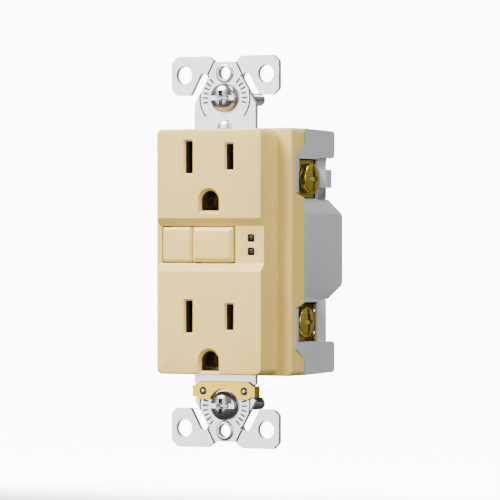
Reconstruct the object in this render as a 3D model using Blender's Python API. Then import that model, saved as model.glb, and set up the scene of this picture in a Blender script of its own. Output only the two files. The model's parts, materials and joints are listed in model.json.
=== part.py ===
"""Ground-fault receptacle, built the way it comes apart on a bench.

Axes: +X right, +Z up, and the face looks along -Y. The origin is the middle of the mounting
strap's rear plane, the plane that meets the wall. All sizes are in metres.

Nested solids keep a clearance, so every object is one closed body that touches no other.
"""

import math

import bmesh
import bpy
from mathutils import Matrix, Vector

MM = 0.001

# Driving dimensions -----------------------------------------------------------------------

# Depths along Y
FACE_Y = -10.0 * MM
BAND_Y = -8.5 * MM
FACE_INNER_Y = -7.0 * MM
SHOULDER_Y = -2.05 * MM
SHOULDER_INNER_Y = -0.5 * MM
STRAP_Y = -1.3 * MM
SPLIT_Y = 4.8 * MM
CHANNEL_Y = 18.65 * MM
BLOCK_Y = 22.6 * MM
BULGE_Y = 27.2 * MM

# Half-widths along X and half-heights along Z
FACE_X = 16.15 * MM
FACE_Z = 32.95 * MM
FACE_BASE_X = 16.5 * MM
FACE_BASE_Z = 33.05 * MM
COVER_X = 21.2 * MM
COVER_Z = 33.35 * MM
HOUSING_REAR_Z = 32.9 * MM
WALL = 1.6 * MM
GAP = 0.3 * MM

# Outlets: blade pair and ground pin
BLADE_X = 6.35 * MM
BLADE_Z = (25.5 * MM, -17.5 * MM)
GROUND_Z = (13.75 * MM, -29.35 * MM)
SLOT_HALF_X = 1.05 * MM
NEUTRAL_HALF_Z = 4.3 * MM
HOT_HALF_Z = 3.45 * MM
GROUND_R = 2.65 * MM

# Recessed band with the buttons and the indicator lenses
BAND_LOW_Z = -3.1 * MM
BAND_HIGH_Z = 7.0 * MM
BAND_RUN = 2.1 * MM
BUTTON_Z = 1.97 * MM
BUTTON_HALF_Z = 4.68 * MM
TEST_X = -10.65 * MM
TEST_HALF_X = 4.55 * MM
RESET_X = 0.7 * MM
RESET_HALF_X = 6.3 * MM
LED_X = 12.2 * MM
LED_Z = (3.7 * MM, 0.1 * MM)

# Strap and its fastenings
NECK_X = 9.55 * MM
EAR_X = 16.75 * MM
EAR_Z = 53.05 * MM
TONGUE_Z = 51.7 * MM
PLATE_HOLE_Z = 48.42 * MM
MOUNT_SCREW_Z = 41.67 * MM
EAR_HOLE = (12.75 * MM, 48.0 * MM)
RIVET_X = 6.4 * MM
RIVET_Z = -37.7 * MM

# Terminals at the four corners of the housing
TERMINAL_Z = (19.75 * MM, -19.0 * MM)
TERMINAL_Y = 9.35 * MM
POCKET_X = 14.9 * MM
POCKET_HALF_Z = 5.35 * MM
POCKET_FRONT_Y = 1.8 * MM
POCKET_REAR_Y = 17.15 * MM
WINDOW_REAR_Y = 13.75 * MM
WIRE_X = 18.0 * MM
WIRE_HOLE_X = 17.15 * MM
CLAMP_Y = (5.05 * MM, 15.5 * MM)
RELIEF_DEPTH = 1.1 * MM
COLUMN_X = 20.35 * MM
WIRE_PITCH = 3.0 * MM
SCREW_PITCH = 0.79375 * MM
BACKED_OUT = 2 * SCREW_PITCH
GROUND_SCREW_Y = 7.0 * MM

# Corner screws that hold the housing to the cover
CORNER = (16.6 * MM, 29.3 * MM)

# Mechanism
BOARD_Y = (13.7 * MM, 15.1 * MM)
FRAME_Y = (8.6 * MM, 10.0 * MM)
SOLENOID_Y = 19.5 * MM
COIL_AT = (12.3 * MM, 1.5 * MM)

ROUND = 20


# Materials --------------------------------------------------------------------------------


def finish(name, colour, roughness, metallic=0.0):
    material = bpy.data.materials.new(name)
    material.use_nodes = True
    shader = material.node_tree.nodes["Principled BSDF"]
    shader.inputs["Base Color"].default_value = (*colour, 1.0)
    shader.inputs["Roughness"].default_value = roughness
    shader.inputs["Metallic"].default_value = metallic
    material.diffuse_color = (*colour, 1.0)
    return material


# Outlines: lists of (a, b) points ---------------------------------------------------------


def arc(centre, radius, start, end, steps):
    """Points on a circular arc between two angles in degrees."""
    angles = [math.radians(start + (end - start) * i / steps) for i in range(steps + 1)]
    return [(centre[0] + radius * math.cos(t), centre[1] + radius * math.sin(t)) for t in angles]


def circle(centre, radius, steps=ROUND):
    return arc(centre, radius, 0, 360, steps)[:-1]


def round_rectangle(centre, half_a, half_b, radius, steps=3):
    corners = [(1, 1, 0), (-1, 1, 90), (-1, -1, 180), (1, -1, 270)]
    points = []
    for side_a, side_b, start in corners:
        middle = (centre[0] + side_a * (half_a - radius), centre[1] + side_b * (half_b - radius))
        points += arc(middle, radius, start, start + 90, steps)
    return points


def obround(centre, half_length, radius, steps=8):
    """A slot with round ends, long along the first axis."""
    reach = half_length - radius
    right = arc((centre[0] + reach, centre[1]), radius, -90, 90, steps)
    left = arc((centre[0] - reach, centre[1]), radius, 90, 270, steps)
    return right + left


def ground_outline(centre, margin):
    """Ground pin opening: round at the top and flat at the bottom."""
    radius = GROUND_R + margin
    middle = (centre[0], centre[1])
    return arc(middle, radius, 0, 180, 10) + [
        (centre[0] - radius, centre[1] - GROUND_R - margin),
        (centre[0] + radius, centre[1] - GROUND_R - margin),
    ]


def mirrored(points, flip_a=1, flip_b=1):
    """An outline reflected in one or both of its axes, kept in the same winding order."""
    flipped = [(flip_a * a, flip_b * b) for a, b in points]
    return flipped if flip_a * flip_b > 0 else flipped[::-1]


# Solids -----------------------------------------------------------------------------------

# Where an outline point (a, b) at a height lands, for each extrusion axis
PLACE = {
    "X": lambda a, b, height: (height, a, b),
    "Y": lambda a, b, height: (a, height, b),
    "Z": lambda a, b, height: (a, b, height),
}


def add_loft(mesh, rings, axis):
    """Skin a row of equal-count outlines, each at its own height along the axis."""
    layers = [[mesh.verts.new(PLACE[axis](a, b, height)) for a, b in ring] for height, ring in rings]
    count = len(layers[0])
    for lower, upper in zip(layers, layers[1:]):
        for i in range(count):
            j = (i + 1) % count
            mesh.faces.new((lower[i], lower[j], upper[j], upper[i]))
    mesh.faces.new(layers[0])
    mesh.faces.new(layers[-1])


def make_object(name, mesh, material=None):
    """Turn a bmesh into an object whose faces point out; without a material it is a cutter."""
    bmesh.ops.recalc_face_normals(mesh, faces=mesh.faces)
    data = bpy.data.meshes.new(name)
    mesh.to_mesh(data)
    mesh.free()
    made = bpy.data.objects.new(name, data)
    bpy.context.scene.collection.objects.link(made)
    if material:
        data.materials.append(material)
        data.shade_smooth()
        data.set_sharp_from_angle(angle=math.radians(35))
    else:
        made.hide_render = True
        made.display_type = "WIRE"
    return made


def loft(name, rings, axis, material=None):
    mesh = bmesh.new()
    add_loft(mesh, rings, axis)
    return make_object(name, mesh, material)


def prisms(name, outlines, axis, low, high, material=None):
    """One or more outlines extruded between two heights along the axis."""
    mesh = bmesh.new()
    for outline in outlines:
        add_loft(mesh, [(low, outline), (high, outline)], axis)
    return make_object(name, mesh, material)


def boxes(name, limits, material=None):
    """Boxes given as (x0, x1, y0, y1, z0, z1)."""
    mesh = bmesh.new()
    for x0, x1, y0, y1, z0, z1 in limits:
        outline = [(x0, z0), (x1, z0), (x1, z1), (x0, z1)]
        add_loft(mesh, [(y0, outline), (y1, outline)], "Y")
    return make_object(name, mesh, material)


def add_turned(mesh, profile, axis, origin, steps):
    """Carry a profile of (radius, height) points round the axis; radius 0 closes it at a pole."""
    rings = []
    for radius, height in profile:
        points = circle((0, 0), radius, steps) if radius else [(0, 0)]
        rings.append([mesh.verts.new(Vector(origin) + Vector(PLACE[axis](a, b, height))) for a, b in points])
    pairs = list(zip(rings, rings[1:]))
    if profile[0][0]:
        pairs.append((rings[-1], rings[0]))
    for lower, upper in pairs:
        below, above = len(lower), len(upper)
        for i in range(steps):
            j = (i + 1) % steps
            corners = (lower[i % below], lower[j % below], upper[j % above], upper[i % above])
            mesh.faces.new(list(dict.fromkeys(corners)))


def turned(name, profile, axis, origin, material=None, steps=ROUND):
    mesh = bmesh.new()
    add_turned(mesh, profile, axis, origin, steps)
    return make_object(name, mesh, material)


def modify(target, operation, tool):
    step = target.modifiers.new(tool.name, "BOOLEAN")
    step.operation = operation
    step.object = tool
    tool.parent = target
    tool.location = -target.location
    return target


def cut(target, *tools):
    for tool in tools:
        modify(target, "DIFFERENCE", tool)
    return target


def add(target, *tools):
    for tool in tools:
        modify(target, "UNION", tool)
    return target


def pivot(moving, point):
    """Put the object's origin on its joint axis without moving its shape."""
    offset = Vector(point)
    moving.data.transform(Matrix.Translation(-offset))
    moving.location = offset
    for tool in moving.children:
        tool.location = -offset
    return moving


def add_coil(mesh, centre, radius, wire, low, high, turns, axis, steps=10, sides=5):
    """A round wire wound in a helix, with its two ends closed."""
    rings = []
    total = turns * steps
    for i in range(total + 1):
        turn = 2 * math.pi * i / steps
        height = low + (high - low) * i / total
        ring = []
        for k in range(sides):
            tilt = 2 * math.pi * k / sides
            reach = radius + wire * math.cos(tilt)
            spot = PLACE[axis](reach * math.cos(turn), reach * math.sin(turn), height + wire * math.sin(tilt))
            ring.append(mesh.verts.new(Vector(centre) + Vector(spot)))
        rings.append(ring)
    for lower, upper in zip(rings, rings[1:]):
        for k in range(sides):
            m = (k + 1) % sides
            mesh.faces.new((lower[k], lower[m], upper[m], upper[k]))
    mesh.faces.new(rings[0])
    mesh.faces.new(rings[-1])


def coil(name, centre, radius, wire, low, high, turns, axis, material):
    mesh = bmesh.new()
    add_coil(mesh, centre, radius, wire, low, high, turns, axis)
    return make_object(name, mesh, material)


# Cover ------------------------------------------------------------------------------------


def blade_slots():
    """Chamfered slot cutters: the tall neutral pair and the short hot pair."""
    flare = 0.6 * MM
    mesh = bmesh.new()
    for z in BLADE_Z:
        for side, half_z in ((-1, NEUTRAL_HALF_Z), (1, HOT_HALF_Z)):
            middle = (side * BLADE_X, z)
            wide = round_rectangle(middle, SLOT_HALF_X + 1.5 * flare, half_z + 1.5 * flare, 0.3 * MM, 1)
            narrow = round_rectangle(middle, SLOT_HALF_X, half_z, 0.2 * MM, 1)
            heights = (FACE_Y - flare / 2, FACE_Y + flare, FACE_INNER_Y + MM)
            add_loft(mesh, list(zip(heights, (wide, narrow, narrow))), "Y")
    return make_object("slot_cutters", mesh)


def ground_holes():
    flare = 0.8 * MM
    mesh = bmesh.new()
    for z in GROUND_Z:
        wide = ground_outline((0, z), 1.5 * flare)
        narrow = ground_outline((0, z), 0)
        heights = (FACE_Y - flare / 2, FACE_Y + flare, FACE_INNER_Y + MM)
        add_loft(mesh, list(zip(heights, (wide, narrow, narrow))), "Y")
    return make_object("ground_hole_cutters", mesh)


def notch_outline(index, margin, rear_y):
    """Side notch of the cover in the (Y, Z) plane; both sloping edges run on to rear_y.

    The upper and lower notches differ a little, so each has its own edge heights at the front
    and at the split. The margin shrinks the outline for the housing tongue that fills it.
    """
    front_y = -0.3 * MM
    edges = (
        ((25.1 * MM, 29.05 * MM), (15.95 * MM, 14.6 * MM)),
        ((-15.3 * MM, -13.7 * MM), (-26.5 * MM, -28.75 * MM)),
    )
    (top_front, top_split), (low_front, low_split) = edges[index]
    reach = (rear_y - front_y) / (SPLIT_Y - front_y)
    top_rear = top_front + (top_split - top_front) * reach
    low_rear = low_front + (low_split - low_front) * reach
    return [
        (front_y + margin, low_front + margin),
        (rear_y, low_rear + margin),
        (rear_y, top_rear - margin),
        (front_y + margin, top_front - margin),
    ]


def front_cover(material):
    lip = 0.2 * MM
    outer = [
        (FACE_Y, 15.75 * MM, 32.55 * MM, 1.5 * MM),
        (FACE_Y + 0.13 * MM, 16.03 * MM, 32.83 * MM, 1.8 * MM),
        (FACE_Y + 0.45 * MM, FACE_X, FACE_Z, 1.9 * MM),
        (SHOULDER_Y, FACE_BASE_X, FACE_BASE_Z, 1.9 * MM),
        (SHOULDER_Y, COVER_X - 0.7 * MM, COVER_Z - lip, 1.5 * MM),
        (SHOULDER_Y + 0.2 * MM, COVER_X - 0.2 * MM, COVER_Z - lip / 4, 1.5 * MM),
        (SHOULDER_Y + 0.7 * MM, COVER_X, COVER_Z, 1.5 * MM),
        (SPLIT_Y, COVER_X, COVER_Z, 1.5 * MM),
    ]
    rings = [(y, round_rectangle((0, 0), x, z, radius, 4)) for y, x, z, radius in outer]
    cover = loft("front_cover", rings, "Y", material)

    inner_z = COVER_Z - WALL
    hollow = [
        (FACE_INNER_Y, 14.6 * MM, 31.3 * MM),
        (SHOULDER_INNER_Y, 14.6 * MM, 31.3 * MM),
        (SHOULDER_INNER_Y, COVER_X - WALL, inner_z),
        (SPLIT_Y + MM, COVER_X - WALL, inner_z),
    ]
    hollow_rings = [(y, round_rectangle((0, 0), x, z, 0.6 * MM, 1)) for y, x, z in hollow]
    cavity = loft("cover_cavity", hollow_rings, "Y")

    slope = BAND_RUN * 2
    band = prisms("band_cutter", [[
        (BAND_Y, BAND_LOW_Z),
        (BAND_Y, BAND_HIGH_Z),
        (BAND_Y - 3 * MM, BAND_HIGH_Z + slope),
        (BAND_Y - 3 * MM, BAND_LOW_Z - slope),
    ]], "X", -20 * MM, 20 * MM)

    opening = boxes("button_opening", [
        (-15.45 * MM, 7.3 * MM, -9.5 * MM, -4.9 * MM, -3.0 * MM, 6.9 * MM),
    ])
    lens_holes = prisms("lens_holes", [
        round_rectangle((LED_X, z), 1.05 * MM, 1.05 * MM, 0.35 * MM, 2) for z in LED_Z
    ], "Y", BAND_Y - MM, FACE_INNER_Y + MM)

    notches = [notch_outline(i, 0, SPLIT_Y + 2 * MM) for i in (0, 1)]
    right_notches = prisms("right_notches", notches, "X", COVER_X - WALL - GAP, COVER_X + MM)
    left_notches = prisms("left_notches", notches, "X", -COVER_X - MM, -COVER_X + WALL + GAP)

    strap_slot = [
        (STRAP_Y - GAP, 31.0 * MM),
        (SPLIT_Y + MM, 31.0 * MM),
        (SPLIT_Y + MM, 34.0 * MM),
        (SHOULDER_Y - 0.5 * MM, 34.0 * MM),
        (SHOULDER_Y - 0.5 * MM, FACE_BASE_Z + 0.03 * MM),
        (STRAP_Y - GAP, FACE_BASE_Z + 0.03 * MM),
    ]
    strap_slots = prisms("strap_slots", [strap_slot, mirrored(strap_slot, 1, -1)], "X",
                         -NECK_X - GAP, NECK_X + GAP)

    corners = [(a * CORNER[0], b * CORNER[1]) for a in (-1, 1) for b in (-1, 1)]
    bosses = prisms("cover_bosses", [circle(c, 2.1 * MM, 16) for c in corners], "Y",
                    SHOULDER_INNER_Y - GAP, SPLIT_Y)
    bores = prisms("cover_boss_bores", [circle(c, 1.6 * MM, 12) for c in corners], "Y",
                   0.8 * MM, SPLIT_Y + MM)
    cut(cover, cavity, band, blade_slots(), ground_holes(), opening, lens_holes)
    cut(cover, right_notches, left_notches, strap_slots)
    add(cover, bosses)
    return cut(cover, bores)


# Housing ----------------------------------------------------------------------------------


def housing_outline():
    """Side view of the housing, in (Y, Z), from its front top corner round the back."""
    soft = 1.2 * MM
    rear = BLOCK_Y - soft
    upper = arc((rear, HOUSING_REAR_Z - soft), soft, 90, 0, 3)
    upper += arc((rear, 25.4 * MM + soft), soft, 0, -90, 3)
    lower = arc((rear, -24.45 * MM - soft), soft, 90, 0, 3)
    lower += arc((rear, -HOUSING_REAR_Z + soft), soft, 0, -90, 3)
    middle = [
        (CHANNEL_Y, 25.4 * MM),
        (CHANNEL_Y, 14.4 * MM),
        (20.95 * MM, 14.1 * MM),
        (BULGE_Y - 0.5 * MM, 10.35 * MM),
        (BULGE_Y, 9.6 * MM),
        (BULGE_Y, -8.5 * MM),
        (BULGE_Y - 0.5 * MM, -9.25 * MM),
        (20.9 * MM, -12.8 * MM),
        (CHANNEL_Y, -13.1 * MM),
        (CHANNEL_Y, -24.45 * MM),
    ]
    front = SPLIT_Y + GAP
    return [(front, 33.3 * MM)] + upper + middle + lower + [(front, -33.3 * MM)]


def middle_hollow():
    """The cavity behind the bulge, in (Y, Z)."""
    return [
        (4.5 * MM, 12.7 * MM),
        (20.0 * MM, 12.7 * MM),
        (BULGE_Y - WALL, 9.1 * MM),
        (BULGE_Y - WALL, -8.0 * MM),
        (20.0 * MM, -11.4 * MM),
        (4.5 * MM, -11.4 * MM),
    ]


def both_sides(x0, x1, *limits):
    """The same box on the right and on the left."""
    return [(x0, x1, *limits), (-x1, -x0, *limits)]


def drafted(piece):
    """Narrow a piece towards the back by the housing's moulding draft."""
    front = SPLIT_Y + GAP
    draft = 0.35 * MM / (BULGE_Y - front)
    for vertex in piece.data.vertices:
        vertex.co.x *= 1 - draft * (vertex.co.y - front) / COVER_X
    return piece


def side_reliefs():
    """Sloping cuts above and below the bulge, on both sides, as deep as the relief at their outer end."""
    wedges = []
    for shallow, deep in ((10.35 * MM, 14.4 * MM), (-9.25 * MM, -13.1 * MM)):
        for side in (-1, 1):
            wedges.append([
                (side * COVER_X, shallow),
                (side * (COVER_X + MM), shallow),
                (side * (COVER_X + MM), deep),
                (side * (COVER_X - RELIEF_DEPTH), deep),
            ])
    return drafted(prisms("side_reliefs", wedges, "Y", SPLIT_Y, BULGE_Y + MM))


def column_reliefs():
    """Shallow recesses in the columns behind the terminal windows; a nub stands between the upper ones."""
    recesses = []
    for low, high in ((14.4, 17.35), (22.35, 25.4), (-24.45, -13.1)):
        limits = (WINDOW_REAR_Y - 0.5 * MM, CHANNEL_Y + MM, low * MM, high * MM)
        recesses += both_sides(COLUMN_X, COVER_X + MM, *limits)
    return boxes("column_reliefs", recesses)


def rear_housing(material):
    front = SPLIT_Y + GAP
    housing = drafted(prisms("rear_housing", [housing_outline()], "X", -COVER_X, COVER_X, material))

    inner_x = COVER_X - WALL
    core_x = 12.6 * MM
    inner_z = 31.7 * MM
    core = boxes("core_cutters", [
        (-core_x, core_x, 4.5 * MM, POCKET_REAR_Y - 0.1 * MM, -28 * MM, 28 * MM),
    ])
    end_hollows = boxes("end_cutters", [
        (-inner_x, inner_x, 4.5 * MM, BLOCK_Y - WALL, 26.8 * MM, inner_z),
        (-inner_x, inner_x, 4.5 * MM, BLOCK_Y - WALL, -inner_z, -25.9 * MM),
    ])
    bulge = prisms("bulge_cutter", [middle_hollow()], "X", -inner_x, inner_x)

    walls = []
    pockets = []
    windows = []
    holes = []
    shank_relief = bmesh.new()
    for z in TERMINAL_Z:
        low = z - POCKET_HALF_Z
        high = z + POCKET_HALF_Z
        block = (GAP, front + 0.5 * MM, low - 1.2 * MM, high + 1.2 * MM)
        walls += both_sides(core_x + GAP, inner_x - GAP, *block)
        pockets += both_sides(POCKET_X, inner_x, POCKET_FRONT_Y, POCKET_REAR_Y, low, high)
        windows += both_sides(inner_x - MM, COVER_X + MM, POCKET_FRONT_Y, WINDOW_REAR_Y, low, high)
        for side in (-1, 1):
            holes += [(side * WIRE_X, z - WIRE_PITCH), (side * WIRE_X, z + WIRE_PITCH)]
            ends = sorted((side * 13.1 * MM, side * (POCKET_X + MM)))
            add_loft(shank_relief, [(x, circle((TERMINAL_Y, z), 2.3 * MM, 12)) for x in ends], "X")

    tongue_inner = inner_x - GAP - 0.2 * MM
    tongues = [notch_outline(i, GAP, front + MM) for i in (0, 1)]
    right_tongues = prisms("right_tongues", tongues, "X", tongue_inner, COVER_X - 0.05 * MM)
    left_tongues = prisms("left_tongues", tongues, "X", -COVER_X + 0.05 * MM, -tongue_inner)
    end_tongues = boxes("end_tongues", [
        (-NECK_X, NECK_X, GAP, front + MM, 31.75 * MM, 33.25 * MM),
        (-NECK_X, NECK_X, GAP, front + MM, -33.25 * MM, -31.75 * MM),
    ])
    lugs = boxes("wire_lugs", both_sides(19.2 * MM, 21.0 * MM, CHANNEL_Y - 0.5 * MM, 20.75 * MM,
                                         17.35 * MM, 22.35 * MM))

    corners = [(a * CORNER[0], b * CORNER[1]) for a in (-1, 1) for b in (-1, 1)]
    bosses = prisms("housing_bosses", [circle(c, 3.0 * MM, 16) for c in corners], "Y",
                    front, BLOCK_Y - MM)
    bores = prisms("housing_bores", [circle(c, 1.6 * MM, 12) for c in corners], "Y",
                   front - MM, BLOCK_Y - MM)
    wells = prisms("screw_wells", [circle(c, 2.9 * MM, 16) for c in corners], "Y",
                   19.6 * MM, BLOCK_Y + MM)
    wire_holes = prisms("wire_holes", [circle(h, 1.3 * MM, 12) for h in holes], "Y",
                        POCKET_REAR_Y - 0.5 * MM, CHANNEL_Y + MM)
    ground_relief = prisms("ground_relief", [circle((0, GROUND_SCREW_Y), 2.4 * MM, 12)], "Z",
                           -34 * MM, -31 * MM)

    cut(housing, core, end_hollows, bulge)
    add(housing, boxes("pocket_walls", walls), right_tongues, left_tongues, end_tongues, lugs, bosses)
    cut(housing, boxes("pocket_cutters", pockets), boxes("window_cutters", windows))
    cut(housing, make_object("shank_relief", shank_relief), wire_holes, bores, wells)
    cut(housing, side_reliefs(), column_reliefs())
    return cut(housing, ground_relief)


# Strap and what is fastened to it ----------------------------------------------------------


def strap_corner():
    """Quarter outline of the strap in (X, Z), from its top edge down to the inner frame."""
    slot_end = arc((6.7 * MM, 47.2 * MM), 1.2 * MM, 31.7, 211.7, 6)
    return [
        (3.35 * MM, TONGUE_Z),
        (5.3 * MM, EAR_Z),
        (15.0 * MM, EAR_Z),
        (EAR_X, 51.4 * MM),
        (EAR_X, 43.95 * MM),
        (15.1 * MM, 42.45 * MM),
        (10.7 * MM, 42.45 * MM),
    ] + slot_end + [
        (NECK_X, 40.2 * MM),
    ]


def clip_notch():
    """Side notch of the lower neck, where the grounding clip wraps round."""
    return [
        (NECK_X, -35.6 * MM),
        (8.9 * MM, -36.0 * MM),
        (8.9 * MM, -39.6 * MM),
        (NECK_X, -40.0 * MM),
    ]


def mounting_strap(material):
    inner = [(NECK_X, 31.0 * MM), (14.2 * MM, 31.0 * MM), (14.2 * MM, -31.0 * MM), (NECK_X, -31.0 * MM)]
    lower = [(x, -z) for x, z in strap_corner()][::-1]
    right = strap_corner() + inner + clip_notch() + lower[1:]
    outline = right + [(-x, z) for x, z in reversed(right)]
    strap = prisms("mounting_strap", [outline], "Y", STRAP_Y, 0, material)

    collars = prisms("plate_hole_collars", [
        circle((0, side * PLATE_HOLE_Z), 2.7 * MM) for side in (-1, 1)
    ], "Y", STRAP_Y - 0.5 * MM, -0.5 * MM)

    windows = [
        round_rectangle((side * 6.4 * MM, z - 0.3 * MM), 2.0 * MM, 5.0 * MM, 0.5 * MM, 1)
        for z in BLADE_Z for side in (-1, 1)
    ]
    windows += [
        round_rectangle((7.5 * MM, 1.0 * MM), 0.9 * MM, 3.5 * MM, 0.3 * MM, 1),
        round_rectangle((-8.75 * MM, -1.4 * MM), 2.15 * MM, 5.8 * MM, 0.5 * MM, 1),
    ]
    round_holes = [(RESET_X, BUTTON_Z, 3.4 * MM)]
    round_holes += [(0, side * PLATE_HOLE_Z, 1.75 * MM) for side in (-1, 1)]
    round_holes += [(a * EAR_HOLE[0], b * EAR_HOLE[1], 2.4 * MM) for a in (-1, 1) for b in (-1, 1)]
    round_holes += [(0, z, 3.2 * MM) for z in GROUND_Z]
    round_holes += [(side * RIVET_X, RIVET_Z, 1.05 * MM) for side in (-1, 1)]
    holes = windows + [circle((x, z), radius) for x, z, radius in round_holes]
    holes += [obround((0, side * MOUNT_SCREW_Z), 3.5 * MM, 2.05 * MM) for side in (-1, 1)]
    openings = prisms("strap_openings", holes, "Y", STRAP_Y - MM, MM)
    return cut(add(strap, collars), openings)


def screw(name, axis, at, under_head, outward, head, shank_radius, tip, material):
    """A domed screw with a combined slot and cross recess.

    The shank runs from the head's underside to the tip along the axis; outward is the sign of
    the direction the head looks. head is (radius, rim, dome).
    """
    radius, rim, dome = head
    top = under_head + outward * (rim + dome)
    shape = [
        (0, tip),
        (shank_radius * 0.7, tip),
        (shank_radius, tip + outward * 0.6 * MM),
        (shank_radius, under_head),
        (radius, under_head),
        (radius, under_head + outward * rim),
        (radius * 0.82, under_head + outward * (rim + dome * 0.5)),
        (radius * 0.5, under_head + outward * (rim + dome * 0.86)),
        (0, top),
    ]
    origin = {"X": (0, *at), "Y": (at[0], 0, at[1]), "Z": (*at, 0)}[axis]
    made = turned(name, shape, axis, origin, material)
    long, short, half = radius + MM, radius * 0.46, 0.6 * MM
    cross = [
        (long, -half), (long, half), (half, half), (half, short), (-half, short), (-half, half),
        (-long, half), (-long, -half), (-half, -half), (-half, -short), (half, -short), (half, -half),
    ]
    if axis == "X":
        cross = [(b, a) for a, b in cross]
    recess = [(at[0] + a, at[1] + b) for a, b in cross]
    low, high = sorted((top + outward * MM, top - outward * 1.1 * MM))
    return cut(made, prisms(name + "_recess", [recess], axis, low, high))


def grounding_clip(material):
    """Springy brass clip that wraps the lower neck and bears on the plaster-ear screw."""
    thick = 0.5 * MM
    front = STRAP_Y - GAP - thick
    half = [
        (0, -35.1 * MM),
        (7.6 * MM, -35.1 * MM),
        (9.2 * MM, -36.3 * MM),
        (9.75 * MM, -36.3 * MM),
        (9.75 * MM, -39.3 * MM),
        (8.8 * MM, -39.3 * MM),
        (7.4 * MM, -40.0 * MM),
    ]
    arch = arc((0, -MOUNT_SCREW_Z), 4.6 * MM, 21.3, 90, 5)
    outline = half + arch + [(-x, z) for x, z in reversed((half + arch)[1:-1])]
    clip = prisms("grounding_clip", [outline], "Y", front, front + thick, material)
    wraps = boxes("clip_wraps", both_sides(9.25 * MM, 9.75 * MM, front + 0.1 * MM, 0.8 * MM,
                                           -39.3 * MM, -36.3 * MM))
    hooks = boxes("clip_hooks", both_sides(7.95 * MM, 9.65 * MM, GAP, 0.8 * MM, -39.1 * MM, -36.5 * MM))
    holes = prisms("clip_holes", [
        circle((side * RIVET_X, RIVET_Z), 1.05 * MM, 12) for side in (-1, 1)
    ], "Y", front - MM, MM)
    return cut(add(clip, wraps, hooks), holes)


def clip_rivet(name, side, material):
    profile = [
        (0, -2.35 * MM), (0.6 * MM, -2.3 * MM), (0.75 * MM, -2.15 * MM), (0.75 * MM, GAP),
        (1.3 * MM, GAP), (1.3 * MM, 0.8 * MM), (0, 0.9 * MM),
    ]
    return turned(name, profile, "Y", (side * RIVET_X, 0, RIVET_Z), material, 12)


def screw_retainer(name, z, material):
    """Fibre square that grips the screw thread behind the strap."""
    square = round_rectangle((0, z), 3.6 * MM, 3.6 * MM, 0.6 * MM, 1)
    washer = prisms(name, [square], "Y", GAP, 1.1 * MM, material)
    cut(washer, prisms(name + "_bore", [circle((0, z), 1.95 * MM, 12)], "Y", -MM, 2 * MM))
    return pivot(washer, (0, 0, z))


# Terminals --------------------------------------------------------------------------------


def terminal(name, side, z, material):
    """Fixed terminal: a floor plate under the clamp and a rear flange the wires pass through."""
    near, far, flange = 15.2 * MM, 16.2 * MM, 19.2 * MM
    half_z = POCKET_HALF_Z - 0.4 * MM
    outline = [
        (near, 2.2 * MM), (far, 2.2 * MM), (far, 15.8 * MM), (flange, 15.8 * MM),
        (flange, 16.8 * MM), (near, 16.8 * MM),
    ]
    outline = mirrored(outline, side, 1)
    plate = prisms(name, [outline], "Z", z - half_z, z + half_z, material)
    low, high = sorted((side * (near - MM), side * (far + 0.5 * MM)))
    screw_hole = prisms(name + "_screw_hole", [circle((TERMINAL_Y, z), 2.25 * MM, 14)], "X", low, high)
    wire_holes = prisms(name + "_wire_holes", [
        circle((side * WIRE_HOLE_X, z + step * WIRE_PITCH), 1.1 * MM, 12) for step in (-1, 1)
    ], "Y", 15 * MM, 18 * MM)
    return cut(plate, screw_hole, wire_holes)


def clamp_plate(name, side, z, lift, material):
    """Pressure plate that the terminal screw drives towards the fixed terminal."""
    inner = side * (16.5 * MM + lift)
    outer = side * (17.7 * MM + lift)
    low, high = sorted((inner, outer))
    centre = (sum(CLAMP_Y) / 2, z)
    outline = round_rectangle(centre, (CLAMP_Y[1] - CLAMP_Y[0]) / 2, 5.1 * MM, 0.5 * MM, 1)
    plate = prisms(name, [outline], "X", low, high, material)
    cut(plate, prisms(name + "_bore", [circle((TERMINAL_Y, z), 2.15 * MM, 14)], "X", low - MM, high + MM))
    return pivot(plate, (0, TERMINAL_Y, z))


# Buttons ----------------------------------------------------------------------------------


def push_button(name, x, half_x, front, bevel, flange, material):
    """A bevelled key with a flange behind the cover wall that stops it falling out."""
    skirt = -6.6 * MM
    levels = [
        (front, half_x - bevel, BUTTON_HALF_Z - bevel),
        (front + 0.55 * MM, half_x, BUTTON_HALF_Z),
        (skirt, half_x, BUTTON_HALF_Z),
    ]
    rings = [(y, round_rectangle((x, BUTTON_Z), a, b, 0.3 * MM, 1)) for y, a, b in levels]
    key = loft(name, rings, "Y", material)
    lip = boxes(name + "_flange", [(*flange, -6.7 * MM, -6.1 * MM, -3.5 * MM, 7.45 * MM)])
    return add(key, lip)


def test_button(material):
    flange = (-13 * MM, -8 * MM)
    key = push_button("test_button", TEST_X, TEST_HALF_X, -8.8 * MM, 0.6 * MM, flange, material)
    stem = boxes("test_stem", [(-10.75 * MM, -8.45 * MM, -6.4 * MM, -2.6 * MM, 0.9 * MM, 3.1 * MM)])
    return pivot(add(key, stem), (TEST_X, FACE_Y, BUTTON_Z))


def reset_button(material):
    flange = (-4 * MM, 5.4 * MM)
    key = push_button("reset_button", RESET_X, RESET_HALF_X, -9.45 * MM, 0.9 * MM, flange, material)
    centre = (RESET_X, BUTTON_Z)
    boss = prisms("reset_boss", [circle(centre, 1.8 * MM, 16)], "Y", -6.4 * MM, -4.2 * MM)
    socket = prisms("reset_socket", [circle(centre, 1.1 * MM, 12)], "Y", -6.4 * MM, -3 * MM)
    return pivot(cut(add(key, boss), socket), (RESET_X, FACE_Y, BUTTON_Z))


# Inner parts ------------------------------------------------------------------------------


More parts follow.
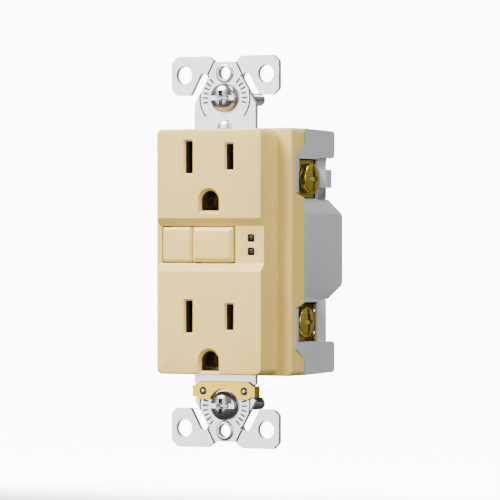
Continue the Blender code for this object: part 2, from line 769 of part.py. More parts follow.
def middle_frame(material):
    """Separator that carries the contacts in front and the circuit board behind."""
    low, high = FRAME_Y
    frame = boxes("middle_frame", [(-12.3 * MM, 12.3 * MM, low, high, -31.2 * MM, 31.2 * MM)], material)
    posts = boxes("contact_posts", [
        box for z in BLADE_Z
        for box in both_sides(8.1 * MM, 10.4 * MM, MM, low + 0.5 * MM, z - 2.5 * MM, z + 2.5 * MM)
    ])
    guide = prisms("pin_guide", [circle((RESET_X, BUTTON_Z), 3.2 * MM, 16)], "Y", 2.3 * MM, low + 0.5 * MM)
    pin_hole = prisms("pin_hole", [circle((RESET_X, BUTTON_Z), 1.1 * MM, 12)], "Y", MM, high + MM)
    contact_windows = boxes("contact_windows", both_sides(
        6.4 * MM, 8.8 * MM, low - MM, high + MM, -3.2 * MM, 5.2 * MM))
    return cut(add(frame, posts, guide), pin_hole, contact_windows)


def face_contact(name, side, material):
    """Bus strip with a blade clip at each outlet and a tab that the moving contact closes on."""
    outer = (7.2 * MM, 7.8 * MM)
    strip = (*outer, -3.6 * MM, -1.6 * MM, BLADE_Z[1] - 4.0 * MM, BLADE_Z[0] + 4.0 * MM)
    tab = (*outer, -2.0 * MM, 9.0 * MM, -2.0 * MM, 4.0 * MM)
    leaves = []
    for z in BLADE_Z:
        low, high = z - 4.2 * MM, z + 4.2 * MM
        depth = (-6.2 * MM, 2.5 * MM)
        leaves.append((*outer, *depth, low, high))
        leaves.append((4.9 * MM, 5.5 * MM, *depth, low - 0.6 * MM, high))
        leaves.append((5.4 * MM, 7.8 * MM, *depth, low - 0.6 * MM, low + 0.1 * MM))

    def on_side(limits):
        x0, x1, *rest = limits
        low_x, high_x = sorted((side * x0, side * x1))
        return (low_x, high_x, *rest)

    contact = boxes(name, [on_side(strip)], material)
    for number, limits in enumerate(leaves + [tab]):
        add(contact, boxes(f"{name}_leaf_{number}", [on_side(limits)]))
    return contact


def ground_contact(name, z, material):
    """Base washer behind the strap with two leaves that grip the ground pin."""
    base = boxes(name, [(-4.6 * MM, 4.6 * MM, GAP, 1.1 * MM, z - 1.7 * MM, z + 3.9 * MM)], material)
    leaf = (0.9 * MM, 7.6 * MM, z - 1.5 * MM, z + 2.4 * MM)
    leaves = boxes(name + "_leaves", both_sides(2.5 * MM, 3.1 * MM, *leaf))
    bore = prisms(name + "_bore", [circle((0, z), 2.45 * MM, 14)], "Y", -MM, 2 * MM)
    return cut(add(base, leaves), bore)


def circuit_board(material):
    board = boxes("circuit_board", [(-12.2 * MM, 12.2 * MM, *BOARD_Y, -31 * MM, 31 * MM)], material)
    return cut(board, boxes("latch_window", [
        (-4.6 * MM, 3.5 * MM, BOARD_Y[0] - MM, BOARD_Y[1] + MM, -1.7 * MM, 5.7 * MM),
    ]))


def latch_block(material):
    """Sliding block lifted by the reset pin; its arms close the moving contacts."""
    block = boxes("latch_block", [(-1.6 * MM, 3.0 * MM, 11.4 * MM, 17.0 * MM, -1.2 * MM, 5.2 * MM)], material)
    arms = boxes("latch_arms", [(-9.6 * MM, 9.6 * MM, 11.4 * MM, 12.6 * MM, -0.8 * MM, 4.8 * MM)])
    bore = prisms("latch_bore", [circle((RESET_X, BUTTON_Z), 1.1 * MM, 12)], "Y", 10 * MM, 18 * MM)
    plate_slot = boxes("plate_slot", [(-5 * MM, 5 * MM, 15.2 * MM, 16.4 * MM, 0.1 * MM, 3.9 * MM)])
    return pivot(cut(add(block, arms), bore, plate_slot), (RESET_X, 11.4 * MM, BUTTON_Z))


def moving_contact(name, side, material):
    low, high = sorted((side * 6.7 * MM, side * 8.5 * MM))
    bar = boxes(name, [(low, high, 10.5 * MM, 11.1 * MM, -2.9 * MM, 4.9 * MM)], material)
    middle = (side * 7.55 * MM, 1.0 * MM)
    button = prisms(name + "_tip", [circle(middle, 0.8 * MM, 12)], "Y", 10.25 * MM, 10.7 * MM)
    return pivot(add(bar, button), (side * 7.5 * MM, 11.1 * MM, BUTTON_Z))


def latch_plate(material):
    """Forked steel plate that catches under the reset pin; the plunger draws it sideways."""
    outline = [
        (-2.6 * MM, 0.4 * MM), (2.4 * MM, 0.4 * MM), (2.4 * MM, 0.8 * MM), (-0.5 * MM, 0.8 * MM),
        (-0.5 * MM, 3.1 * MM), (2.4 * MM, 3.1 * MM), (2.4 * MM, 3.6 * MM), (-2.6 * MM, 3.6 * MM),
    ]
    plate = prisms("latch_plate", [outline], "Y", 15.5 * MM, 16.1 * MM, material)
    tab = boxes("plate_tab", [(-2.6 * MM, -2.0 * MM, 15.9 * MM, 21.0 * MM, 0.4 * MM, 3.6 * MM)])
    return pivot(add(plate, tab), (-2.6 * MM, 15.8 * MM, BUTTON_Z))


def solenoid(metals):
    """Trip solenoid lying along X: bobbin, winding, U-shaped frame, plunger and its spring."""
    axis_at = (0, SOLENOID_Y, BUTTON_Z)
    flange_r, core_r, bore_r = 4.4 * MM, 2.3 * MM, 1.9 * MM
    left, right, cheek = -16.9 * MM, -7.3 * MM, 0.8 * MM
    turned("solenoid_bobbin", [
        (bore_r, left), (flange_r, left), (flange_r, left + cheek), (core_r, left + cheek),
        (core_r, right - cheek), (flange_r, right - cheek), (flange_r, right), (bore_r, right),
    ], "X", axis_at, metals["nylon"])
    turned("solenoid_winding", [
        (core_r + GAP, left + cheek + 0.1 * MM), (flange_r - 0.2 * MM, left + cheek + 0.1 * MM),
        (flange_r - 0.2 * MM, right - cheek - 0.1 * MM), (core_r + GAP, right - cheek - 0.1 * MM),
    ], "X", axis_at, metals["copper"])
    bracket = [
        (-18.0 * MM, 15.4 * MM), (-17.2 * MM, 15.4 * MM), (-17.2 * MM, 24.2 * MM), (-7.0 * MM, 24.2 * MM),
        (-7.0 * MM, 15.4 * MM), (-6.2 * MM, 15.4 * MM), (-6.2 * MM, 25.0 * MM), (-18.0 * MM, 25.0 * MM),
    ]
    low, high = BUTTON_Z - 4.2 * MM, BUTTON_Z + 4.2 * MM
    frame = prisms("solenoid_frame", [bracket], "Z", low, high, metals["steel"])
    cut(frame, prisms("plunger_hole", [circle((SOLENOID_Y, BUTTON_Z), 1.9 * MM, 14)], "X",
                      -7.5 * MM, -5 * MM))
    plunger = turned("solenoid_plunger", [
        (0, -15 * MM), (1.6 * MM, -15 * MM), (1.6 * MM, -3.6 * MM), (2.6 * MM, -3.6 * MM),
        (2.6 * MM, -2.9 * MM), (0, -2.9 * MM),
    ], "X", axis_at, metals["steel"])
    pivot(plunger, axis_at)
    coil("plunger_spring", axis_at, 2.2 * MM, 0.2 * MM, -5.9 * MM, -3.9 * MM, 4, "X", metals["spring"])


def current_coils(metals):
    """Two ring cores on one axis inside a cup: one senses leakage, one a grounded neutral."""
    origin = (COIL_AT[0], 0, COIL_AT[1])
    inner, outer = 3.0 * MM, 5.5 * MM
    for name, low in (("sense_coil", 15.9 * MM), ("neutral_coil", 20.0 * MM)):
        high = low + 3.6 * MM
        soft = 0.5 * MM
        turned(name, [
            (inner + soft, low), (outer - soft, low), (outer, low + soft), (outer, high - soft),
            (outer - soft, high), (inner + soft, high), (inner, high - soft), (inner, low + soft),
        ], "Y", origin, metals["copper"])
    cup_in, cup_out = 5.8 * MM, 6.6 * MM
    turned("coil_cup", [
        (2.0 * MM, 23.9 * MM), (cup_in, 23.9 * MM), (cup_in, 15.6 * MM), (cup_out, 15.6 * MM),
        (cup_out, 24.8 * MM), (2.0 * MM, 24.8 * MM),
    ], "Y", origin, metals["nylon"])


def test_leaf(material):
    """Springy strip that returns the test button and closes the test circuit."""
    outline = [
        (-1.3 * MM, 3.4 * MM), (-1.05 * MM, 3.4 * MM), (-1.05 * MM, -6.6 * MM), (8.3 * MM, -6.6 * MM),
        (8.3 * MM, -6.85 * MM), (-1.3 * MM, -6.85 * MM),
    ]
    return prisms("test_leaf", [outline], "X", -10.5 * MM, -8.7 * MM, material)


# Assembly ---------------------------------------------------------------------------------


def clear_scene():
    for thing in list(bpy.data.objects):
        bpy.data.objects.remove(thing)


def build():
    clear_scene()
    ivory = finish("ivory_thermoplastic", (0.76, 0.65, 0.41), 0.42)
    grey = finish("grey_thermoplastic", (0.42, 0.42, 0.43), 0.55)
    zinc = finish("zinc_plated_steel", (0.78, 0.78, 0.79), 0.35, 1.0)
    steel = finish("bright_steel", (0.60, 0.60, 0.61), 0.3, 1.0)
    brass = finish("brass", (0.66, 0.52, 0.22), 0.35, 1.0)
    dark_brass = finish("oiled_brass", (0.32, 0.27, 0.07), 0.4, 1.0)
    silver = finish("nickel_plated_brass", (0.70, 0.69, 0.66), 0.32, 1.0)
    lens = finish("smoked_acrylic", (0.03, 0.03, 0.035), 0.2)
    fibre = finish("vulcanised_fibre", (0.35, 0.06, 0.04), 0.8)
    green = finish("green_chromated_steel", (0.03, 0.30, 0.10), 0.35, 1.0)
    laminate = finish("green_laminate", (0.02, 0.18, 0.08), 0.5)
    inner = {
        "nylon": finish("black_nylon", (0.04, 0.04, 0.04), 0.6),
        "copper": finish("enamelled_copper", (0.55, 0.22, 0.10), 0.4, 1.0),
        "steel": steel,
        "spring": finish("spring_steel", (0.50, 0.50, 0.50), 0.35, 1.0),
    }
    epoxy = finish("blue_epoxy", (0.03, 0.12, 0.40), 0.45)
    resin = finish("black_resin", (0.02, 0.02, 0.02), 0.5)
    yellow = finish("yellow_film", (0.60, 0.42, 0.05), 0.5)

    front_cover(ivory)
    rear_housing(grey)
    mounting_strap(zinc)
    test_button(ivory)
    button = reset_button(ivory)
    for name, z in zip(("led_lens_upper", "led_lens_lower"), LED_Z):
        window = round_rectangle((LED_X, z), 0.78 * MM, 0.78 * MM, 0.25 * MM, 2)
        prisms(name, [window], "Y", BAND_Y + 0.1 * MM, -6.2 * MM, lens)

    for word, side in (("top", 1), ("bottom", -1)):
        z = side * MOUNT_SCREW_Z
        washer = screw_retainer("screw_retainer_" + word, z, fibre)
        bolt = screw("mounting_screw_" + word, "Y", (0, z), -1.6 * MM, -1, (3.95 * MM, 0.7 * MM, 1.6 * MM),
                     1.7 * MM, 18.3 * MM, steel)
        pivot(bolt, (0, 0, z))
        bolt.parent = washer
        bolt.location = (0, 0, 0)
    grounding_clip(brass)
    clip_rivet("clip_rivet_right", 1, steel)
    clip_rivet("clip_rivet_left", -1, steel)

    poles = (("hot", 1, dark_brass, brass), ("neutral", -1, silver, silver))
    for row, z, lift in (("line", TERMINAL_Z[0], BACKED_OUT), ("load", TERMINAL_Z[1], 0)):
        for pole, side, plate_metal, screw_metal in poles:
            label = f"{row}_{pole}"
            terminal("terminal_" + label, side, z, plate_metal)
            clamp = clamp_plate("clamp_plate_" + label, side, z, lift, plate_metal)
            bolt = screw("terminal_screw_" + label, "X", (TERMINAL_Y, z), side * (17.95 * MM + lift), side,
                         (4.1 * MM, 0.9 * MM, 1.4 * MM), 1.9 * MM, side * (13.4 * MM + lift), screw_metal)
            pivot(bolt, (0, TERMINAL_Y, z))
            bolt.parent = clamp
            bolt.location = (0, 0, 0)

    bracket = prisms("ground_terminal", [[
        (GAP, -36.4 * MM), (1.3 * MM, -36.4 * MM), (1.3 * MM, -34.8 * MM), (11.0 * MM, -34.8 * MM),
        (11.0 * MM, -33.8 * MM), (GAP, -33.8 * MM),
    ]], "X", -3.2 * MM, 3.2 * MM, zinc)
    cut(bracket, prisms("ground_terminal_bore", [circle((0, GROUND_SCREW_Y), 2.2 * MM, 14)], "Z",
                        -36 * MM, -33 * MM))
    square = round_rectangle((0, GROUND_SCREW_Y), 3.2 * MM, 3.4 * MM, 0.4 * MM, 1)
    clamp = prisms("ground_clamp", [square], "Z", -36.1 * MM, -35.1 * MM, green)
    cut(clamp, prisms("ground_clamp_bore", [circle((0, GROUND_SCREW_Y), 2.15 * MM, 14)], "Z",
                      -37 * MM, -34 * MM))
    pivot(clamp, (0, GROUND_SCREW_Y, 0))
    bolt = screw("ground_screw", "Z", (0, GROUND_SCREW_Y), -36.35 * MM, -1, (3.5 * MM, 0.8 * MM, 1.2 * MM),
                 1.9 * MM, -32.4 * MM, green)
    pivot(bolt, (0, GROUND_SCREW_Y, 0))
    bolt.parent = clamp
    bolt.location = (0, 0, 0)

    for a, column in ((1, "right"), (-1, "left")):
        for b, row in ((1, "upper"), (-1, "lower")):
            screw(f"housing_screw_{row}_{column}", "Y", (a * CORNER[0], b * CORNER[1]), 19.9 * MM, 1,
                  (2.5 * MM, 0.6 * MM, 0.9 * MM), 1.3 * MM, 1.1 * MM, steel)

    middle_frame(inner["nylon"])
    circuit_board(laminate)
    face_contact("hot_face_contact", 1, brass)
    face_contact("neutral_face_contact", -1, brass)
    ground_contact("ground_contact_upper", GROUND_Z[0], brass)
    ground_contact("ground_contact_lower", GROUND_Z[1], brass)

    pin_at = (RESET_X, 0, BUTTON_Z)
    pin = turned("reset_pin", [
        (0, -6.1 * MM), (0.8 * MM, -6.1 * MM), (0.8 * MM, 14.0 * MM), (0.4 * MM, 14.8 * MM), (0, 14.8 * MM),
    ], "Y", pin_at, steel, 12)
    pin.parent = button
    pin.location = -button.location
    coil("reset_spring", pin_at, 2.5 * MM, 0.25 * MM, -5.8 * MM, 1.9 * MM, 6, "Y", inner["spring"])
    latch_block(inner["nylon"])
    moving_contact("moving_contact_hot", 1, brass)
    moving_contact("moving_contact_neutral", -1, brass)
    latch_plate(steel)
    solenoid(inner)
    current_coils(inner)
    test_leaf(brass)

    boxes("control_chip", [(-3.0 * MM, 3.0 * MM, 15.4 * MM, 16.8 * MM, -21 * MM, -16 * MM)], resin)
    turned("surge_varistor", [
        (0, 27.3 * MM), (2.6 * MM, 27.3 * MM), (2.6 * MM, 31.1 * MM), (0, 31.1 * MM),
    ], "Z", (-5 * MM, 18.2 * MM, 0), epoxy)
    boxes("film_capacitor", [(1.5 * MM, 8.5 * MM, 15.4 * MM, 20.4 * MM, 27.3 * MM, 31.1 * MM)], yellow)


build()
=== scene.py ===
"""Looks for a ground-fault receptacle: moulded covers, plated strap, screws, clip and works.

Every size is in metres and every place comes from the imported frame, whose nodes are in the
receptacle's own axes: +X right, +Y into the wall, +Z up.
"""

import json
import math

import bmesh
import bpy
import numpy as np
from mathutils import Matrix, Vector


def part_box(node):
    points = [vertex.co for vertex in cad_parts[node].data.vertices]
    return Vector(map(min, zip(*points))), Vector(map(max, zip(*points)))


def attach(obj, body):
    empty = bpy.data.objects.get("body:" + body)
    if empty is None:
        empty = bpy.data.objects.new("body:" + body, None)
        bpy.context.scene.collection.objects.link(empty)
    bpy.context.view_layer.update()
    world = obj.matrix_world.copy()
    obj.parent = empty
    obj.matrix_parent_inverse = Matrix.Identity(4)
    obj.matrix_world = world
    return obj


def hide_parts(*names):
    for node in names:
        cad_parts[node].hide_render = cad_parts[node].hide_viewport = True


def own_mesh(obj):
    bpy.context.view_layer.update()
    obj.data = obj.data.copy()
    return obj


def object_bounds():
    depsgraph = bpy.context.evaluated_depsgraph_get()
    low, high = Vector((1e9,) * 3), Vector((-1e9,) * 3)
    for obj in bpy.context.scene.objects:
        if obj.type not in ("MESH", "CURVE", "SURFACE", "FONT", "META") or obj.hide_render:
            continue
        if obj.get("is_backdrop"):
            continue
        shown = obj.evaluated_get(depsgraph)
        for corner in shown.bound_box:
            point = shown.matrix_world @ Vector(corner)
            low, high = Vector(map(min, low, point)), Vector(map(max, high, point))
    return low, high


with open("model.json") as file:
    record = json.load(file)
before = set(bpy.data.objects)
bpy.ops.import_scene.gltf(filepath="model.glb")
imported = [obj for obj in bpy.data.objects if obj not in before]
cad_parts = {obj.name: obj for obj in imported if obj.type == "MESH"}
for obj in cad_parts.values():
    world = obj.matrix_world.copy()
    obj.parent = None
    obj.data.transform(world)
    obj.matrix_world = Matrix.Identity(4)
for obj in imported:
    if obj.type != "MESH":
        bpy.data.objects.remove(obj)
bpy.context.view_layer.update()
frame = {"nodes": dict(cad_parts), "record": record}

bl_info = {
    "name": "Ground-fault receptacle",
    "version": (1, 0, 0),
    "blender": (4, 5, 0),
    "location": "View3D > Sidebar > Receptacle",
    "description": "Builds the moulded, plated and wound pieces of a ground-fault receptacle",
    "category": "Add Mesh",
}

MM = 0.001
TURN = 2 * math.pi
SMOOTH = 32  # degrees: faces that meet past this keep a hard edge
CLEARANCE = 2.5  # bevel widths that an edge's neighbours must reach for the edge to be rounded

# Places shared by several pieces, in millimetres
OUTLET_ROWS = (25.5, -17.5)
GROUND_ROWS = (13.75, -29.35)
BLADE_COLUMN = 6.35
KEY_ROW = 1.97
RESET_COLUMN = 0.7
SCREW_ROW = 41.67
COLLAR_ROW = 48.42

SOLENOID_AXIS = (19.5 * MM, KEY_ROW * MM)


# Colour and nodes -------------------------------------------------------------------------


def linear(code):
    """An sRGB hex colour as linear RGB."""
    srgb = np.array([int(code[i:i + 2], 16) for i in (1, 3, 5)]) / 255
    return tuple(np.where(srgb <= 0.04045, srgb / 12.92, ((srgb + 0.055) / 1.055) ** 2.4))


def add_node(tree, kind, inputs=None, **settings):
    """Add a node; inputs are constants or sockets to link, keyed by socket name or number."""
    made = tree.nodes.new("ShaderNode" + kind)
    for name, value in settings.items():
        setattr(made, name, value)
    for key, value in (inputs or {}).items():
        if isinstance(value, bpy.types.NodeSocket):
            tree.links.new(value, made.inputs[key])
        else:
            made.inputs[key].default_value = value
    return made


def new_material(name, colour, roughness, metallic=0.0, **extra):
    """A Principled material; returns it with its tree, shader and object coordinates."""
    material = bpy.data.materials.new(name)
    material.use_nodes = True
    tree = material.node_tree
    shader = tree.nodes["Principled BSDF"]
    shader.inputs["Base Color"].default_value = (*colour, 1)
    shader.inputs["Roughness"].default_value = roughness
    shader.inputs["Metallic"].default_value = metallic
    for key, value in extra.items():
        shader.inputs[key.replace("_", " ")].default_value = value
    place = add_node(tree, "TexCoord").outputs["Object"]
    return material, tree, shader, place


def shades(tree, factor, dark, light, low=0.3, high=0.7):
    """Colour between two shades as the factor goes from low to high."""
    ramp = add_node(tree, "ValToRGB", {"Fac": factor})
    ramp.color_ramp.elements[0].position = low
    ramp.color_ramp.elements[1].position = high
    ramp.color_ramp.elements[0].color = (*dark, 1)
    ramp.color_ramp.elements[1].color = (*light, 1)
    return ramp.outputs["Color"]


def worked(tree, shader, tone, dark, light, roughness=None, relief=None, span=(0.3, 0.7)):
    """Let patterns vary a finish.

    The tone, 0 to 1, takes the colour from dark to light over the span and the roughness between
    its own two values. Relief is a height factor with its depth in millimetres and its strength.
    """
    tree.links.new(shades(tree, tone, dark, light, *span), shader.inputs["Base Color"])
    if roughness:
        rough = add_node(tree, "MapRange", {"Value": tone, "To Min": roughness[0], "To Max": roughness[1]})
        tree.links.new(rough.outputs["Result"], shader.inputs["Roughness"])
    if relief:
        height, depth, strength = relief
        bump = add_node(tree, "Bump", {"Height": height, "Distance": depth * MM, "Strength": strength})
        tree.links.new(bump.outputs["Normal"], shader.inputs["Normal"])


def tinted(colour, share):
    """The colour made lighter or darker by a share."""
    return tuple(min(1.0, channel * share) for channel in colour)


# Materials --------------------------------------------------------------------------------


def moulded_plastic(name, colour, roughness, grain_mm):
    """Engineering thermoplastic from a finely spark-eroded tool: soft sheen over a fine grain."""
    material, tree, shader, place = new_material(
        name, colour, roughness, IOR=1.53, Subsurface_Weight=0.04, Subsurface_Scale=0.4 * MM,
        Subsurface_Radius=(1.0, 0.7, 0.4))
    grain = add_node(tree, "TexNoise", {"Vector": place, "Scale": 1 / (grain_mm * MM), "Detail": 3.0})
    flow = add_node(tree, "TexNoise", {"Vector": place, "Scale": 1 / (14 * MM), "Detail": 2.0})
    worked(tree, shader, flow.outputs["Fac"], tinted(colour, 0.965), tinted(colour, 1.02),
           (roughness - 0.05, roughness + 0.06), (grain.outputs["Fac"], 0.012, 0.5))
    return material


def plated_sheet(name, colour, roughness, streak_mm):
    """Stamped, plated sheet metal: rolling lines under the plate and faint handling marks."""
    material, tree, shader, place = new_material(name, colour, roughness, 1.0)
    stretch = add_node(tree, "Mapping", {"Vector": place, "Scale": (1.0, 1.0, 0.06)}).outputs[0]
    lines = add_node(tree, "TexNoise", {"Vector": stretch, "Scale": 1 / (streak_mm * MM), "Detail": 4.0})
    marks = add_node(tree, "TexNoise", {"Vector": place, "Scale": 1 / (2.2 * MM), "Detail": 5.0})
    worked(tree, shader, marks.outputs["Fac"], tinted(colour, 0.84), tinted(colour, 1.04),
           (roughness - 0.07, roughness + 0.14), (lines.outputs["Fac"], 0.006, 0.6))
    return material


def turned_metal(name, colour, roughness):
    """Cold-headed and plated fastener: smooth, with small dents and a dulled plate in patches."""
    material, tree, shader, place = new_material(name, colour, roughness, 1.0)
    dents = add_node(tree, "TexNoise", {"Vector": place, "Scale": 1 / (0.9 * MM), "Detail": 3.0})
    dents = dents.outputs["Fac"]
    worked(tree, shader, dents, tinted(colour, 0.8), tinted(colour, 1.05),
           (roughness - 0.06, roughness + 0.12), (dents, 0.006, 0.3))
    return material


def woven_laminate():
    """Glass-epoxy board under green solder mask, with the weave and copper tracks showing through."""
    material, tree, shader, place = new_material("glass_epoxy_board", linear("#1E5A38"), 0.35, IOR=1.55)
    tracks = add_node(tree, "TexVoronoi", {"Vector": place, "Scale": 1 / (3.2 * MM)}, distance="MANHATTAN")
    weave = add_node(tree, "TexWave", {"Vector": place, "Scale": 1 / (9.0 * MM)}, bands_direction="DIAGONAL")
    worked(tree, shader, tracks.outputs["Distance"], linear("#3C7A48"), linear("#1B5233"),
           relief=(weave.outputs["Fac"], 0.01, 0.4), span=(0.28, 0.34))
    return material


def pressed_fibre():
    """Vulcanised fibre washer stock: matt, dense, with short hairs pressed flat."""
    material, tree, shader, place = new_material("vulcanised_fibre", linear("#7B3A2C"), 0.82)
    hairs = add_node(tree, "TexNoise", {"Vector": place, "Scale": 1 / (0.35 * MM), "Detail": 6.0})
    hairs = hairs.outputs["Fac"]
    worked(tree, shader, hairs, linear("#5E2A20"), linear("#8F4A38"), relief=(hairs, 0.03, 0.7))
    return material


def smoked_lens():
    """Dark tinted acrylic over an unlit diode: a glossy face with a paler middle."""
    material, tree, shader, place = new_material(
        "smoked_acrylic", linear("#1A1B1F"), 0.42, IOR=1.49, Specular_IOR_Level=0.25)
    depth = add_node(tree, "TexNoise", {"Vector": place, "Scale": 1 / (1.1 * MM), "Detail": 1.0})
    worked(tree, shader, depth.outputs["Fac"], linear("#0C0D0F"), linear("#24272C"))
    return material


def wound_wire(name, colour, wire_mm):
    """Enamelled winding wire laid in turns, drawn a little coarse so that the turns show."""
    material, tree, shader, place = new_material(name, colour, 0.32, 0.85)
    turns = add_node(
        tree, "TexWave", {"Vector": place, "Scale": 1 / (wire_mm * 8 * MM), "Distortion": 0.6}).outputs["Fac"]
    worked(tree, shader, turns, tinted(colour, 0.55), tinted(colour, 1.1), relief=(turns, 0.05, 0.8))
    return material


def moulded_resin(name, colour, roughness):
    """Small moulded or dipped component body: even colour with a slightly uneven skin."""
    material, tree, shader, place = new_material(name, colour, roughness)
    skin = add_node(tree, "TexNoise", {"Vector": place, "Scale": 1 / (0.8 * MM), "Detail": 3.0})
    skin = skin.outputs["Fac"]
    worked(tree, shader, skin, tinted(colour, 0.85), tinted(colour, 1.1), relief=(skin, 0.02, 0.5))
    return material


FINISHES = {}


def prepare_finishes(colours):
    """One material for each finish of the receptacle."""
    FINISHES.update(
        ivory=moulded_plastic("ivory_thermoplastic", colours.ivory, 0.36, 0.16),
        button=moulded_plastic("ivory_button_thermoplastic", tinted(colours.ivory, 1.02), 0.32, 0.2),
        # depth is a dark olive that paints the shade on the walls inside the slots, ground holes, lens holes
        # and the keys' opening
        depth=moulded_plastic("painted_shade_hole_wall", linear("#3A311C"), 0.6, 0.2),
        grey=moulded_plastic("grey_thermoplastic", colours.grey, 0.45, 0.22),
        zinc=plated_sheet("zinc_plated_strip", colours.zinc, 0.3, 0.25),
        # groove is zinc darkened to a fifth, a painted shade for the stamped scores, dashes and arcs
        groove=plated_sheet("painted_shade_groove", tinted(colours.zinc, 0.2), 0.5, 0.25),
        steel=turned_metal("bright_plated_steel", linear("#A2A2A4"), 0.2),
        clip=plated_sheet("spring_brass_strip", colours.brass, 0.26, 0.3),
        brass=turned_metal("brass_plated_screw", linear("#D6C24A"), 0.2),
        terminal=plated_sheet("terminal_brass", linear("#C4B348"), 0.34, 0.3),
        nickel=turned_metal("nickel_plated_screw", linear("#BDBAB2"), 0.26),
        nickel_plate=plated_sheet("nickel_plated_brass", linear("#B5B1A6"), 0.32, 0.3),
        lens=smoked_lens(),
        fibre=pressed_fibre(),
        green=turned_metal("green_chromated_steel", linear("#3F9A5C"), 0.3),
        board=woven_laminate(),
        nylon=moulded_resin("black_nylon", linear("#26272A"), 0.5),
        copper=wound_wire("enamelled_copper", linear("#B0643A"), 0.25),
        spring=turned_metal("drawn_spring_wire", linear("#A9A9AB"), 0.3),
        epoxy=moulded_resin("dipped_blue_epoxy", linear("#2F5FA8"), 0.4),
        resin=moulded_resin("black_chip_resin", linear("#1E1E20"), 0.55),
        film=moulded_resin("yellow_wrapped_film", linear("#D8B23A"), 0.3),
    )


# Meshes from arrays -----------------------------------------------------------------------


def placed(axis, first, second, height):
    """Stack two outline coordinates and a height as XYZ for an extrusion axis."""
    order = {"X": (height, first, second), "Y": (first, height, second), "Z": (first, second, height)}
    return np.stack(np.broadcast_arrays(*order[axis]), axis=-1)


def make_object(name, points, faces, finish=None, angle=SMOOTH):
    """A mesh object with outward normals, smooth except where faces meet past an angle."""
    data = bpy.data.meshes.new(name)
    data.from_pydata(points.tolist(), [], faces)
    data.update()
    shape = bmesh.new()
    shape.from_mesh(data)
    bmesh.ops.remove_doubles(shape, verts=shape.verts, dist=1e-7)
    bmesh.ops.recalc_face_normals(shape, faces=shape.faces)
    shape.to_mesh(data)
    shape.free()
    made = bpy.data.objects.new(name, data)
    bpy.context.scene.collection.objects.link(made)
    if finish:
        data.materials.append(FINISHES[finish])
        data.shade_smooth()
        data.set_sharp_from_angle(angle=math.radians(angle))
    return made


def skinned(name, rings, finish=None, angle=SMOOTH):
    """Closed skin over rings (rows, columns, 3): quads between rings and a flat cap at each end."""
    rows, columns = rings.shape[:2]
    start = np.arange(rows - 1)[:, None] * columns
    here = np.arange(columns)[None, :]
    ahead = (here + 1) % columns
    quads = np.stack([start + here, start + ahead, start + ahead + columns, start + here + columns], axis=-1)
    faces = quads.reshape(-1, 4).tolist()
    faces += [list(range(columns)), list(range((rows - 1) * columns, rows * columns))]
    return make_object(name, rings.reshape(-1, 3), faces, finish, angle)


def arc(centre, radius, start, end, steps):
    """Points at equal angles on a circle: centre + radius (cos t, sin t), t in degrees."""
    t = np.radians(np.linspace(start, end, steps))
    return np.stack([centre[0] + radius * np.cos(t), centre[1] + radius * np.sin(t)], axis=-1)


def rounded(half_a, half_b, radius, steps=8, centre=(0, 0)):
    """Rectangle with a quarter circle at each corner, anticlockwise."""
    reach_a, reach_b = half_a - radius, half_b - radius
    corners = [(1, 1, 0), (-1, 1, 90), (-1, -1, 180), (1, -1, 270)]
    return np.concatenate([
        arc((centre[0] + a * reach_a, centre[1] + b * reach_b), radius, t, t + 90, steps)
        for a, b, t in corners
    ])


def circle(radius, steps=48, centre=(0, 0)):
    """Whole circle as equal steps of an arc, without its first point again."""
    return arc(centre, radius, 0, 360 * (1 - 1 / steps), steps)


def filleted(corners, radii, steps=6):
    """Closed outline whose corners are replaced by quadratic arcs tangent to both edges.

    A corner at c with unit edge directions u and v starts at c + r u and ends at c + r v, and
    the arc between is (1 - s)^2 a + 2 s (1 - s) c + s^2 b.
    """
    c = np.asarray(corners, float)
    r = np.broadcast_to(np.asarray(radii, float), len(c))[:, None]
    to_last = np.roll(c, 1, axis=0) - c
    to_next = np.roll(c, -1, axis=0) - c
    a = c + r * to_last / np.linalg.norm(to_last, axis=1, keepdims=True)
    b = c + r * to_next / np.linalg.norm(to_next, axis=1, keepdims=True)
    s = np.linspace(0, 1, steps)[None, :, None]
    curve = (1 - s) ** 2 * a[:, None] + 2 * s * (1 - s) * c[:, None] + s ** 2 * b[:, None]
    return curve.reshape(-1, 2)


def extruded(name, outline, axis, low, high, finish=None):
    """The outline carried straight along the axis from low to high."""
    rings = placed(axis, outline[None, :, 0], outline[None, :, 1], np.array([low, high])[:, None])
    return skinned(name, rings, finish)


def lofted(name, outlines, heights, axis, finish=None, angle=SMOOTH):
    """Skin over outlines of equal count, each at its own height."""
    stack = np.stack(outlines)
    rings = placed(axis, stack[..., 0], stack[..., 1], np.asarray(heights)[:, None])
    return skinned(name, rings, finish, angle)


def revolved(name, profile, axis, centre, finish, steps=64, ripple=None, angle=SMOOTH):
    """Surface of revolution: (radius, height) carried round the axis, with an optional ripple.

    ripple(turn, radius, height) returns what is added to the radius; a first or last radius of
    zero closes at a pole.
    """
    radius, height = np.asarray(profile, float).T
    turn = np.linspace(0, TURN, steps, endpoint=False)[None, :]
    reach = np.broadcast_to(radius[:, None], (len(radius), steps)).copy()
    if ripple:
        reach = reach + ripple(turn, radius[:, None], height[:, None])
    a, b = centre
    rings = placed(axis, a + reach * np.cos(turn), b + reach * np.sin(turn), height[:, None])
    return skinned(name, rings, finish, angle)


def settled(piece):
    """Write the piece's modifiers into its mesh."""
    shown = piece.evaluated_get(bpy.context.evaluated_depsgraph_get())
    data = bpy.data.meshes.new_from_object(shown)
    old = piece.data
    piece.modifiers.clear()
    piece.data = data
    data.name = piece.name
    bpy.data.meshes.remove(old)
    return piece


def carved(piece, *cutters, operation="DIFFERENCE"):
    """Cut (or join) each tool into the piece, then remove the tools."""
    for tool in cutters:
        step = piece.modifiers.new("carve", "BOOLEAN")
        step.operation = operation
        step.object = tool
        step.solver = "EXACT"
        step.material_mode = "TRANSFER"
    settled(piece)
    for tool in cutters:
        bpy.data.objects.remove(tool)
    return piece


